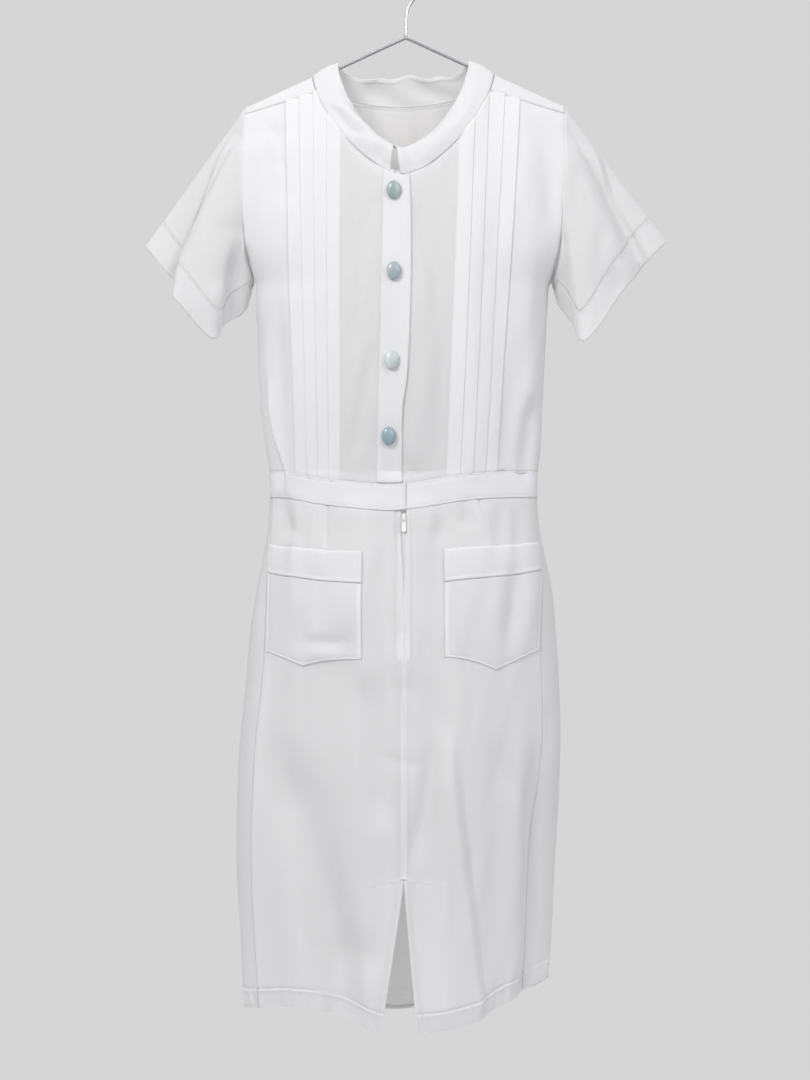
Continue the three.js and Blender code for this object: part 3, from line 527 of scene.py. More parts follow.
def bodice_front_at(side, c, v):
    """c is the x at the waist, or past the last tuck a share in hundredths of the way to the side."""
    rows, f = FRONT[side], FACING[side]
    waist, top = rows["waist"][-1], rows["top"][-1]
    inner = np.minimum(c * f, waist * f) * f
    inner_top = np.interp(inner * f, rows["waist"] * f, rows["top"])
    inner_z = lerp(waist_z(inner) + SEAM, front_top_z(side, inner_top) - SEAM, v)
    share = np.clip((c - waist) * f / 100, 0, 1)
    low_x = lerp(waist, side_x(side, WAIST["side"]), share)
    high_x = lerp(top, side_x(side, ARMHOLE["z"][0]), share)
    outer_z = lerp(waist_z(low_x) + SEAM, front_top_z(side, high_x) - SEAM, v)
    outer_x = lerp(lerp(waist, top, v), side_x(side, outer_z) - f * SEAM / 2, share)
    beyond = share > 0
    return front_at(np.where(beyond, outer_x, lerp(inner, inner_top, v)), np.where(beyond, outer_z, inner_z))


# Back of the bodice. Heights are paths below the ridge: under zero at the back, over zero on the front
BACK_NECK = 0.52
BACK_CORNER = 0.6
LOWER_ROWS = 7
OVER_RIDGE = np.array([-14, -8, -3.6, -1.05, 0, 0.25, 0.6])
BELOW_NECK = np.array([-14, -11, -8, -6, -4, -2.5, -1.2])


def back_top(c):
    side = "left" if c < 0 else "right"
    f, share = FACING[side], abs(c)
    yoke = np.clip((share - BACK_CORNER) / (1 - BACK_CORNER), 0, 1)
    collar = np.clip((share - BACK_NECK) / (BACK_CORNER - BACK_NECK), 0, 1)
    tip = side_x(side, ARMHOLE["z"][0]) - f * SEAM
    ridge_x = lerp(NECK["middle"] + f * (NECK["half"] + SEAM + 3 * collar), tip, yoke)
    if yoke > 0:
        x = lerp(CORNER_X[side] + f * SEAM, tip, yoke)
        return side, x, yoke_drop(x) - SEAM / 2, True, ridge_x
    angle = CORNER[side] * collar if collar > 0 else -90 + 90 * share / BACK_NECK
    x, _, z = neck_at(angle if side == "right" else 180 - angle)
    sine = math.sin(math.radians(angle))
    path = (ridge(x) - z) * (-1 if angle < 0 else 1) + SEAM * min(sine, 0)
    return side, x + SEAM * math.cos(math.radians(angle)) * f, path, collar > 0, ridge_x


def back_edge(side, z):
    s = section(BODICE, z)
    armhole = np.abs(angle_of((side_x(side, z) - s["middle"]) / s["half"])) - 0.1
    return np.where(z < UNDERARM, 180 - bodice_side_angle(z) - 0.1, armhole)


def back_column(c, row):
    side, top_x, top_path, over, ridge_x = back_top(c)
    goal_x = ridge_x if over else top_x
    goal = 0 if over else top_path
    base = WAIST["side"] + SEAM - ridge(goal_x)
    if over:
        stops = np.append(np.where(OVER_RIDGE > 0, OVER_RIDGE * min(top_path, 6), OVER_RIDGE), top_path)
    else:
        stops = np.append(top_path + BELOW_NECK, top_path)
    levels = np.append(0, LOWER_ROWS + np.arange(len(stops)))
    path = np.interp(row, levels, np.append(base, stops))
    front_x = lerp(goal_x, top_x, np.clip(path / max(top_path, 1e-6), 0, 1))
    front = front_at(front_x, ridge(front_x) - path)
    z0 = ridge(goal_x) + np.minimum(path, 0)
    s = section(BODICE, z0)
    edge = back_edge(side, z0)
    top_angle = np.clip(angle_of((goal_x - s["middle"]) / s["half"]), -edge, edge)
    angle = lerp(c * edge, top_angle, smooth((path - base) / (goal - base), 0, 1))
    x = s["middle"] + s["half"] * across_of(angle)
    z = np.where(path < -20, z0, ridge(x) + np.minimum(path, 0))
    back = np.where((np.abs(angle) > 90)[:, None], front_at(x, z), place(x, depth(x, z, "back"), z))
    return np.where((path > 0)[:, None], front, back)


def bodice_back_at(c, row):
    return np.stack([back_column(c[0, i], row[:, i]) for i in range(c.shape[1])], axis=1)


def skirt_at(angle, z):
    """Skirt and waistband by angle from the centre front, and height."""
    s = section(SKIRT, z)
    fold = np.zeros(np.broadcast(angle, z).shape)
    for top, top_angle, hem_angle, width, out in zip(*SKIRT_FOLDS.values()):
        down = np.clip((top - z) / (top - HEM_LEVEL), 0, 1)
        away = (angle - lerp(top_angle, hem_angle, down) + 540) % 360 - 180
        fold = fold + out * smooth(down, 0, 0.35) * hump(away, width)
    turn = np.radians(angle)
    deep = np.where(np.cos(turn) > 0, s["front"], s["back"])
    x = s["middle"] + s["half"] * across_of(angle) + fold * np.sin(turn)
    return place(x, -deep * power(np.cos(turn), 2 / ROUND) - fold * np.cos(turn), z)


def skirt_angle(x, z):
    s = section(SKIRT, z)
    return angle_of((x - s["middle"]) / s["half"])


def band_top(angle):
    x = skirt_at(angle, WAIST["side"])[..., 0]
    return np.where(np.abs(angle) < 90, waist_z(x), WAIST["side"])


def skirt_top(angle):
    return band_top(angle) - WAIST["band"]


def hem_z(angle):
    return read(HEM, "angle", angle, "z")


def signed(angle):
    return np.where(angle > 180, angle - 360, angle)


def centre_edge(side, z):
    zip_open = ZIP["open"] * (1 - smooth(-z, -ZIP["from"], -ZIP["closed"]))
    slit = np.clip((SLIT["top"] - z) / (SLIT["top"] - SLIT["bottom"]), 0, 1)
    return CENTRE + FACING[side] * (SEAM / 2 + zip_open / 2 + SLIT[side] * slit ** SLIT["curve"])


def skirt_front_at(side, u, v):
    def turned(z):
        return lerp(skirt_angle(centre_edge(side, z), z), FACING[side] * (seam_angle(z) - 0.15), u)

    angle = turned(lerp(skirt_top(np.zeros(1)), SLIT["bottom"], v))
    z = lerp(skirt_top(angle) - SEAM, hem_z(angle), v)
    return skirt_at(turned(z), z)


def skirt_back_at(u, v):
    def turned(z):
        edge = seam_angle(z) + 0.15
        return lerp(edge, 360 - edge, u)

    angle = signed(turned(lerp(WAIST["side"], HEM_BACK, v)))
    z = lerp(skirt_top(angle) - SEAM, hem_z(angle), v)
    return skirt_at(turned(z), z)


def waistband_at(angle, v):
    return skirt_at(angle, band_top(angle) - SEAM / 2 - (WAIST["band"] - SEAM) * v)


def pocket_at(side, u, upper, lower, v):
    z = lerp(upper(u), lower(u), v)
    inner = skirt_angle(POCKETS[side]["inner"], z)
    return skirt_at(lerp(inner, FACING[side] * (seam_angle(z) - POCKET_SHORT), u), z)


def pocket_bottom(pocket, u):
    at = pocket["point_at"]
    to_point = np.where(u < at, u / at, (1 - u) / (1 - at))
    return lerp(lerp(*pocket["bottom"], u), pocket["point"], to_point**1.5)


def armhole_at(side, turn):
    z = read(ARMHOLE_TURN, "turn", turn, "z")
    x = side_x(side, np.minimum(z, ARMHOLE["z"][0]))
    z = np.minimum(z, ridge(x))
    return place(x, np.where(turn < 0.5, -depth(x, z, "front"), depth(x, z, "back")), z)


def sleeve_hem_at(side, turn):
    rows = SLEEVE_HEM[side]
    loop = {k: np.concatenate([v[-2:] - (k == "turn"), v, v[:2] + (k == "turn")]) for k, v in rows.items()}
    return place(*[read(loop, "turn", turn, name) for name in "xyz"])


def sleeve_at(side, turn, along):
    turn = turn % 1
    bulge = SLEEVE_BULGE
    start = armhole_at(side, turn)
    start[..., 0] += FACING[side] * (SEAM + UNDERARM_GAP * (1 - smooth(np.abs(turn - 0.5), 0.05, 0.3)))
    p = lerp(start, sleeve_hem_at(side, turn), along[..., None])
    back = hump(turn - bulge["back_turn"], bulge["back_wide"])
    front = hump(turn - bulge["front_turn"], bulge["front_wide"])
    p[..., 1] += bulge["out"] * np.sin(np.pi * along) * (back - front)
    return p


def cuff_start(side, turn):
    turn = turn % 1
    length = np.linalg.norm(armhole_at(side, turn) - sleeve_hem_at(side, turn), axis=-1)
    return np.maximum(1 - CUFF / length, 0.2)


def collar_top(angle):
    s, front, x, side_z = neck_ring(angle, COLLAR)
    drop = np.where(front, COLLAR["drop"] * np.abs(s) ** (2 / COLLAR["shape"]), -COLLAR["back_drop"] * s)
    y = -np.where(front, COLLAR["front"], COLLAR["back"]) * power(s, COLLAR["round"])
    return place(x, y, side_z + COLLAR["rise"] - drop)


def collar_at(station, v):
    """The collar by station round it and share of its height."""
    first, last, front = STATIONS["first"], STATIONS["last"], STATIONS["front"]
    left, right = first + front, last - front

    def end_angle(side):
        x = lerp(*COLLAR_ENDS[side], v)
        half, shape = lerp(NECK["half"], COLLAR["half"], v), lerp(NECK["shape"], COLLAR["shape"], v)
        return np.degrees(np.arccos(power((x - NECK["middle"]) / half, shape / 2)))

    angle = np.where(station < left, lerp(end_angle("left"), left, (station - first) / front), station)
    angle = np.where(station > right, lerp(right, 360 + end_angle("right"), (station - right) / front), angle)
    turned = signed(angle)
    p = lerp(neck_at(turned), collar_top(turned), lerp(0.02, 1, v)[..., None])
    belly = COLLAR_BELLY * np.sin(np.pi * v)
    out = np.sin(np.radians(turned))
    p[..., 1] -= belly * out
    p[..., 2] += belly * (1 - np.abs(out))
    return p


# Drape: how far the creases, dents and ripples move a point out
def crease_field(creases, x, z):
    total = np.zeros(np.broadcast(x, z).shape)
    for c in creases:
        path = c["path"]
        low, high = path["z"].min(), path["z"].max()
        centre, above, below = (read(path, "z", np.clip(z + step, low, high), "x") for step in (0, 2, -2))
        away = (x - centre) / np.sqrt(1 + ((above - below) / 4) ** 2)
        down = (high - z) / (high - low)
        strength = smooth(down, -0.25, 0) * (1 - smooth(down, 1, 1.25))
        if c["fade"][0]:
            strength = strength * smooth(down, 0, c["fade"][0])
        if c["fade"][1]:
            strength = strength * (1 - smooth(down, 1 - c["fade"][1], 1))
        if c["side"]:
            over = away * c["side"]
            profile = smooth(over, -c["edge"], c["edge"]) * np.exp(-np.maximum(over, 0) / c["width"])
        else:
            profile = hump(away, c["width"])
        total = total + c["out"] * strength * profile
    return total


def dent_field(x, z):
    total = np.zeros(np.broadcast(x, z).shape)
    for dent_x, dent_z, wide, tall, out in zip(*DENTS.values()):
        total = total + out * hump(x - dent_x, wide) * hump(z - dent_z, tall)
    return total


def ripple_field(x, z, seed):
    random = np.random.default_rng(seed)
    total = np.zeros(np.broadcast(x, z).shape)
    for _ in range(RIPPLE["waves"]):
        wave = random.uniform(RIPPLE["short"], RIPPLE["long"])
        lean = random.normal(0, RIPPLE["lean"])
        phase = random.uniform(0, 2 * np.pi)
        across = x * math.cos(lean) + z * math.sin(lean) * 0.5
        total = total + np.sin(2 * np.pi * across / wave + phase) * wave / RIPPLE["long"]
    return total * RIPPLE["out"] / 3


def gather_field(x, z):
    """Small upright folds that run down from the waist seam."""
    below = WAIST["side"] - WAIST["band"] - z
    fade = np.exp(-np.maximum(below, 0) / GATHERS["long"]) * smooth(below, 0, GATHERS["start"])
    swayed = GATHERS["swing"] * np.sin(x / GATHERS["sway"])
    return GATHERS["deep"] * np.sin(x / GATHERS["wave"] + swayed) * fade


def drape(points):
    x, y, z = np.moveaxis(points, -1, 0)
    front, back = np.clip(-y / FLAT["side"], 0, 1), np.clip(y / FLAT["side"], 0, 1)
    scale = np.where(z > WAIST["side"], FOLDS["bodice"], FOLDS["skirt"])
    folded = scale * (crease_field(FRONT_CREASES, x, z) + dent_field(x, z))
    moved = front * (folded + ripple_field(x, z, RIPPLE["front_seed"])) + gather_field(x, z)
    moved = moved + back * (crease_field(BACK_CREASES, x, z) + ripple_field(x, z, RIPPLE["back_seed"]))
    waist = z - WAIST["side"] + WAIST["band"] / 2 + FLAT["waist_low"]
    flattened = 1 - FLAT["waist"] * hump(waist, FLAT["waist_tall"])
    return moved * flattened * smooth(ridge(x) - z, FLAT["ridge"], FLAT["shoulder"])


# Meshes
def clear_name(name):
    return f"{name}.look"


def new_piece(name, vertices, faces, material, body="dress", uv=None, layers_and_painted_shade=None, sharp=35):
    mesh = bpy.data.meshes.new(name)
    mesh.from_pydata((np.asarray(vertices).reshape(-1, 3) * MM).tolist(), [], np.asarray(faces).tolist())
    mesh.materials.append(material)
    if uv is not None:
        corners = np.zeros(len(mesh.loops), np.int32)
        mesh.loops.foreach_get("vertex_index", corners)
        placed = uv.reshape(-1, 2)[corners].astype(np.float32).ravel()
        mesh.uv_layers.new(name="cloth").data.foreach_set("uv", placed)
    # Share of doubled cloth, which also paints the colour whiter; lower values keep the painted shade of
    # single cloth
    if layers_and_painted_shade is not None:
        counted = mesh.attributes.new("layers_and_painted_shade", "FLOAT", "POINT")
        counted.data.foreach_set("value", layers_and_painted_shade.astype(np.float32).ravel())
    mesh.polygons.foreach_set("use_smooth", np.ones(len(mesh.polygons), bool))
    mesh.set_sharp_from_angle(angle=math.radians(sharp))
    mesh.update()
    piece = bpy.data.objects.new(name, mesh)
    bpy.context.scene.collection.objects.link(piece)
    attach(piece, body)
    return piece


def grid_faces(rows, columns, looped=False):
    r, c = np.meshgrid(np.arange(rows - 1), np.arange(columns if looped else columns - 1), indexing="ij")
    r, c, after = r.ravel(), c.ravel(), (c.ravel() + 1) % columns
    corners = [(r, c), (r, after), (r + 1, after), (r + 1, c)]
    return np.stack([row * columns + column for row, column in corners], axis=1)


def lengths(points, axis):
    """Path lengths along one axis of a grid, from its first row or column."""
    spans = np.linalg.norm(np.diff(points, axis=axis), axis=-1)
    return np.concatenate([np.zeros_like(np.take(spans, [0], axis)), np.cumsum(spans, axis)], axis)


def grid_normals(points, out, looped):
    up = np.gradient(points, axis=0)
    if looped:
        along = np.roll(points, -1, axis=1) - np.roll(points, 1, axis=1)
    else:
        along = np.gradient(points, axis=1)
    return unit(np.cross(along, up)) * out


EDGES = {"first_column": (1, False), "last_column": (1, True), "first_row": (0, False), "last_row": (0, True)}
STITCHES = []


def from_edge(points, edge):
    axis, far = EDGES[edge]
    run = lengths(points, axis)
    return np.take(run, [-1], axis) - run if far else run


def stitch_row(points, normals, lift=0.1):
    """Lays a row of stitches along a path."""
    STITCHES.append((np.asarray(points, float), np.asarray(normals, float), lift))


def at_distance(values, gap, away):
    """Values a given distance in from the first row of a grid, column by column."""
    columns = range(gap.shape[1])
    return np.array([[np.interp(away, gap[:, j], values[:, j, k]) for k in range(3)] for j in columns])


def from_side(values, edge):
    """A grid turned so that the named edge is its first row."""
    axis, far = EDGES[edge]
    turned = np.moveaxis(values, axis, 0)
    return turned[::-1] if far else turned


def stitch_beside(points, normals, edge, away):
    """Lays a row of stitches a given distance from one edge of a grid."""
    p = from_side(points, edge)
    gap = lengths(p, 0)
    stitch_row(at_distance(p, gap, away), unit(at_distance(from_side(normals, edge), gap, away)))


def finish_edge(points, normals, layers_and_painted_shade, edge, reach, back):
    """Carries cloth past an edge: back behind itself where back is true, else on behind its neighbour."""
    axis, far = EDGES[edge]
    p, n, t = (from_side(values, edge) for values in (points, normals, layers_and_painted_shade))
    gap = lengths(p, 0)
    ahead = unit(p[0] - p[2])
    back = np.broadcast_to(back, p.shape[1])[:, None]
    strips = []
    for share in (1, 0.5, 0.1):
        onward = np.where(back, at_distance(p, gap, reach * share), p[0] + ahead * reach * share)
        strips.append(onward - n[0] * (BEHIND["near"] + BEHIND["further"] * share))
    p, t = np.concatenate([np.stack(strips), p]), np.concatenate([t[:1], t[:1], t[:1], t])
    if far:
        p, t = p[::-1], t[::-1]
    return np.moveaxis(p, 0, axis), np.moveaxis(t, 0, axis)


def seam_relief(gap):
    """A sewn edge dips at its seam and stands up a little beside it."""
    beside = SEAM_LINE["ridge"] * hump(gap - SEAM_LINE["ridge_at"], SEAM_LINE["ridge_wide"])
    return beside - SEAM_LINE["dip"] * hump(gap, SEAM_LINE["dip_wide"])


def stitch_relief(gap, run, away):
    """Stitches press a groove, and pucker the cloth more where they hold a deeper hem."""
    groove = STITCH_LINE["groove"] * hump(gap - away, STITCH_LINE["groove_wide"])
    beside = STITCH_LINE["ridge"] * hump(gap - away + STITCH_LINE["ridge_in"], STITCH_LINE["ridge_wide"])
    wave = np.sin(run / PUCKER["wave"] + 3 * np.sin(run / PUCKER["sway"]))
    pucker = wave * hump(gap - away * 0.6, away * 0.45 + 2)
    return (beside - groove) * (1 + away / 20) + (PUCKER["least"] + PUCKER["growth"] * away) * pucker


def cloth(node, surface, columns, rows, out, *, wall=WALL, shell=SHELL, lift=None, relief=None, layers_and_painted_shade=None,
          looped=False, sewn=(), under=(), turned=(), allowance=(), stitched=(), rests_on=(), draped=True,
          doubled=0):
    """One piece of cloth on a surface: draped, dipped at its sewn edges, stitched and finished behind."""
    c, r = np.meshgrid(np.asarray(columns, float), np.asarray(rows, float))
    points = surface(c, r)
    normals = grid_normals(points, out, looped)
    lift = -wall / 2 if lift is None else lift
    moved = lift + wall - shell / 2
    if draped:
        moved = moved + drape(points)
    if relief is not None:
        moved = moved + relief(c, r, points)
    # Share that paints the cloth whiter: doubled cloth, and layers and allowances behind it; where it is low
    # the cloth keeps the painted shade of single cloth
    thickness = np.full(c.shape, float(doubled))
    if layers_and_painted_shade is not None:
        thickness = np.maximum(thickness, layers_and_painted_shade(c, r, points))
    for edge in sewn:
        moved = moved + seam_relief(from_edge(points, edge))
    for edge, deep, amount in allowance:
        thickness = np.maximum(thickness, amount * (from_edge(points, edge) < deep))
    for edge, away in stitched:
        run = lengths(points, 1 - EDGES[edge][0])
        moved = moved + stitch_relief(from_edge(points, edge), run, away)
    whole = points + normals * np.asarray(moved)[..., None]
    shown = grid_normals(whole, out, looped)
    for edge, away in stitched:
        stitch_beside(whole + shown * shell / 2, shown, edge, away)
    for edge, reach, back in [(edge, UNDER, False) for edge in under] + list(turned):
        whole, thickness = finish_edge(whole, grid_normals(whole, out, looped), thickness, edge, reach, back)
    uv = np.stack([lengths(whole, 1), lengths(whole, 0)], axis=-1)
    piece = new_piece(clear_name(node), whole, grid_faces(*thickness.shape, looped), COTTON,
                      uv=uv, layers_and_painted_shade=thickness)
    if out < 0:
        piece.data.flip_normals()
    wall_of = piece.modifiers.new("thickness", "SOLIDIFY")
    wall_of.thickness = shell * MM
    wall_of.offset = 0
    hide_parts(node)
    declare(whole, looped)


def declare(points, looped):
    """Works out the piece's flat cut from its own lengths, but keeps nothing."""
    closed = np.concatenate([points, points[:, :1]], axis=1) if looped else points
    across = lengths(closed, 1)[:, -1].max()
    down = lengths(closed, 0)[-1].max()


# Materials
def nodes_of(name):
    made = bpy.data.materials.new(name)
    made.use_nodes = True
    return made, made.node_tree, made.node_tree.nodes["Principled BSDF"]


def add_node(tree, kind, inputs=None, **settings):
    node = tree.nodes.new(kind)
    for key, value in settings.items():
        setattr(node, key, value)
    for key, value in (inputs or {}).items():
        if isinstance(value, bpy.types.NodeSocket):
            tree.links.new(value, node.inputs[key])
        else:
            node.inputs[key].default_value = value
    return node


def math_node(tree, operation, a, b):
    return add_node(tree, "ShaderNodeMath", {0: a, 1: b}, operation=operation).outputs[0]


def noise_node(tree, coordinates, scale, detail=3.0):
    noise = add_node(tree, "ShaderNodeTexNoise", {"Vector": coordinates, "Scale": scale, "Detail": detail})
    return noise.outputs["Fac"]


def stretched(tree, coordinates, across, down):
    mapping = add_node(tree, "ShaderNodeMapping", {"Vector": coordinates})
    mapping.inputs["Scale"].default_value = (across, down, 1)
    return mapping.outputs["Vector"]


def colour_between(tree, factor, low, high):
    mix = add_node(tree, "ShaderNodeMix", {"Factor": factor}, data_type="RGBA")
    for socket, colour in zip([s for s in mix.inputs if s.type == "RGBA"], (low, high)):
        socket.default_value = (*colour, 1)
    return next(s for s in mix.outputs if s.type == "RGBA")


def ranged(tree, value, low, high, lowest=0):
    """Takes a value from its own range, lowest to 1, to the range low to high."""
    limits = {"From Min": lowest, "To Min": low, "To Max": high}
    return add_node(tree, "ShaderNodeMapRange", {"Value": value, **limits}).outputs["Result"]


def cotton():
    """White plain-weave cotton, painted whiter where a second layer lies behind it and greyer where it is
    single: painted shade of the dark inside that shows through one layer.
    """
    made, tree, shader = nodes_of("white cotton")
    uv = add_node(tree, "ShaderNodeUVMap", uv_map="cloth").outputs["UV"]
    warp = noise_node(tree, stretched(tree, uv, 1.1, 0.03), 1.0)
    weft = noise_node(tree, stretched(tree, uv, 0.03, 1.1), 1.0)
    cloudy = noise_node(tree, stretched(tree, uv, 0.02, 0.012), 1.0)
    slubs = math_node(tree, "ADD", warp, weft)
    layers_and_painted_shade = add_node(tree, "ShaderNodeAttribute", attribute_name="layers_and_painted_shade").outputs["Fac"]
    # Painted shade by layer share, made uneven by slub and cloud noise
    painted_shade_and_slubs = math_node(tree, "ADD", layers_and_painted_shade, ranged(tree, math_node(tree, "ADD", slubs, cloudy), -0.28, 0.28))
    tree.links.new(colour_between(tree, painted_shade_and_slubs, SHADED_SINGLE_WHITE, DOUBLE_WHITE), shader.inputs["Base Color"])
    threads = []
    for direction in ("X", "Y"):
        bands = {"wave_type": "BANDS", "bands_direction": direction}
        wave = add_node(tree, "ShaderNodeTexWave", {"Vector": uv, **WEAVE}, **bands)
        threads.append(wave.outputs["Fac"])
    weave = math_node(tree, "MULTIPLY", *threads)
    height = math_node(tree, "ADD", math_node(tree, "MULTIPLY", weave, 0.35), slubs)
    bump = add_node(tree, "ShaderNodeBump", {"Height": height, "Strength": 0.22, "Distance": 0.0004})
    tree.links.new(bump.outputs["Normal"], shader.inputs["Normal"])
    tree.links.new(ranged(tree, slubs, 0.7, 0.9), shader.inputs["Roughness"])
    shader.inputs["Sheen Weight"].default_value = 0.12
    shader.inputs["Sheen Roughness"].default_value = 0.5
    shader.inputs["Specular IOR Level"].default_value = 0.25
    passing = {"Color": (*THROUGH_WHITE, 1), "Normal": bump.outputs["Normal"]}
    through = add_node(tree, "ShaderNodeBsdfTranslucent", passing)
    share = ranged(tree, layers_and_painted_shade, LIGHT_THROUGH["single"], LIGHT_THROUGH["doubled"])
    mix = add_node(tree, "ShaderNodeMixShader", {0: share, 1: shader.outputs[0], 2: through.outputs[0]})
    tree.links.new(mix.outputs[0], tree.nodes["Material Output"].inputs["Surface"])
    return made


def pearl(name, dark, light):
    """Pearl button with clouded streaks under a clear polish."""
    made, tree, shader = nodes_of(name)
    place_in = add_node(tree, "ShaderNodeTexCoord").outputs["Object"]
    streaks = noise_node(tree, stretched(tree, place_in, 90, 60), 1.0)
    clouded = colour_between(tree, ranged(tree, streaks, -0.2, 1.2), dark, light)
    tree.links.new(clouded, shader.inputs["Base Color"])
    tree.links.new(ranged(tree, streaks, 0.3, 0.42), shader.inputs["Roughness"])
    shader.inputs["Coat Weight"].default_value = 0.6
    shader.inputs["Coat Roughness"].default_value = 0.12
    return made


def mottled(name, noise, dark, light, roughness):
    """A plain material whose colour and roughness vary together with fine noise."""
    made, tree, shader = nodes_of(name)
    mottle = noise_node(tree, add_node(tree, "ShaderNodeTexCoord").outputs["Object"], *noise)
    tree.links.new(colour_between(tree, mottle, dark, light), shader.inputs["Base Color"])
    tree.links.new(ranged(tree, mottle, *roughness), shader.inputs["Roughness"])
    return made, shader


def steel():
    """Bright wire with fine marks."""
    made, shader = mottled("steel wire", (900.0, 4.0), (0.42, 0.43, 0.44), (0.68, 0.68, 0.69), (0.2, 0.38))
    shader.inputs["Metallic"].default_value = 1
    return made


def nylon(name, dark, light):
    """Matt nylon for the slider, pull, chain and thread."""
    return mottled(name, (400.0,), dark, light, (0.35, 0.55))[0]


COTTON = cotton()
# One pearl for each button, top down: the same pearl, painted much lighter on the third button for a
# reflection and a little lighter on the second for a highlight; the fourth is darker and bluer
PEARLS = [
    pearl("pearl grey", (0.22, 0.31, 0.32), (0.48, 0.56, 0.54)),
    pearl("pearl with painted highlight", (0.26, 0.33, 0.35), (0.52, 0.58, 0.58)),
    pearl("pearl with painted reflection", (0.42, 0.50, 0.50), (0.72, 0.78, 0.77)),
    pearl("pearl blue", (0.14, 0.24, 0.29), (0.38, 0.49, 0.53)),
]
STEEL = steel()
NYLON = nylon("white nylon", (0.78, 0.78, 0.76), (0.88, 0.88, 0.86))
THREAD = nylon("white thread", (0.80, 0.80, 0.82), (0.93, 0.93, 0.95))


# Hanger
def tube(path, radius, sides=16):
    """Round wire along a path, with rounded ends."""
    path = np.asarray(path, float)
    ahead = unit(path[1] - path[0])
    behind = unit(path[-1] - path[-2])
    cap = radius * np.sin(np.radians([90, 60, 30, 0]))
    start = [path[0] - ahead * reach for reach in cap]
    end = [path[-1] + behind * reach for reach in cap[::-1]]
    rings = np.array(start + list(path[1:-1]) + end)
    narrowing = list(radius * np.cos(np.radians([88, 60, 30, 0])))
    radii = np.array(narrowing + [radius] * (len(path) - 2) + narrowing[::-1])
    tangent = unit(np.gradient(rings, axis=0))
    side = unit(np.cross(tangent, np.where(np.abs(tangent[:, 1:2]) < 0.9, [[0, 1, 0]], [[1, 0, 0]])))
    other = np.cross(tangent, side)
    turn = np.linspace(0, 2 * np.pi, sides, endpoint=False)
    around = np.cos(turn)[None, :, None] * side[:, None] + np.sin(turn)[None, :, None] * other[:, None]
    return rings[:, None] + around * radii[:, None, None]


def joined_grids(grids):
    vertices, faces, count = [], [], 0
    for g in grids:
        vertices.append(g.reshape(-1, 3))
        faces.append(grid_faces(g.shape[0], g.shape[1], True) + count)
        count += g.shape[0] * g.shape[1]
    return np.concatenate(vertices), np.concatenate(faces)


def bend(a, b, c, d, t):
    """A smooth curve from a to d that sets out towards b and arrives from c."""
    return (1 - t) ** 3 * a + 3 * t * (1 - t) ** 2 * b + 3 * t**2 * (1 - t) * c + t**3 * d


def hanger():
    ring = HOOK["rail"] + WIRE
    arc = np.radians(np.linspace(HOOK["join"], HOOK["tip"], 60))
    hook = place(ring * np.cos(arc), 0, ring * np.sin(arc) - HOOK["rail"])
    lead = np.array([-math.sin(arc[0]), 0, math.cos(arc[0])])
    low = np.array([HOOK["lean"], 0, HOOK["stem"]])
    high = low + [0, 0, HOOK["rise"]]
    curve = bend(low, high, hook[0] - HOOK["lead"] * lead, hook[0], steps(14)[:-1, None])
    stem = place(np.linspace(0, HOOK["lean"], 6)[:-1], 0, np.linspace(ARM["apex"], HOOK["stem"], 6)[:-1])
    outer = np.linspace(4, ARM["reach"], 20)
    reach = np.concatenate([-outer[::-1], np.linspace(-3, 3, 7), outer])
    arms = place(reach, 0, ARM["apex"] - ARM["slope"] * np.sqrt(reach**2 + 2.0) + 0.4)
    vertices, faces = joined_grids([tube(np.concatenate([stem, curve, hook]), WIRE), tube(arms, WIRE)])
    piece = new_piece(clear_name("hanger"), vertices, faces, STEEL, sharp=60)
    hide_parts("hanger")


# Bodice
def tuck_raise(side, c):
    """Height of the tucks over the cloth: each climbs outwards and drops at its free edge."""
    edges = FRONT[side]["waist"][1:] * FACING[side]
    at, height = [edges[0] - 0.2], [0]
    for start, end in zip(edges[:-1], edges[1:]):
        at += [start, lerp(start, end, 0.5), end - 0.5]
        height += [0.15, TUCK_HEIGHT * 0.75, TUCK_HEIGHT]
    return np.interp(c * FACING[side], at + [edges[-1]], height + [0])


def bodice_front(side):
    f, waist = FACING[side], FRONT[side]["waist"] * FACING[side]
    columns = list(np.linspace(waist[0] + SEAM / 2, waist[1] - 0.2, int((waist[1] - waist[0]) / MESH)))
    for start, end in zip(waist[1:-1], waist[2:]):
        columns += list(lerp(start, end - 0.5, steps(5)))
    columns += list(waist[-1] + 100 * steps(26))

    # Tucks are painted as doubled cloth; past the last tuck the plain cloth is painted nearly as white,
    # painted light that lifts the shade where it curves away
    def tucked_and_whitened(c, r, points):
        tucks = (c * f > waist[1] - 0.1) & (c * f < waist[-1] - 0.1)
        return np.where(tucks, 1.0, 0.8 * smooth(c * f, waist[-1], waist[-1] + 6))

    seams = ("first_row", "last_row", "last_column")
    cloth(
        f"bodice_front_{side}", lambda c, v: bodice_front_at(side, c, v), np.array(columns) * f, steps(168),
        f, relief=lambda c, r, p: tuck_raise(side, c), layers_and_painted_shade=tucked_and_whitened, sewn=seams, under=seams,
        allowance=[("last_column", 9, 0.3), ("first_row", 8, 0.3), ("last_row", 9, 0.4)],
        rests_on=["bodice_back"],
    )


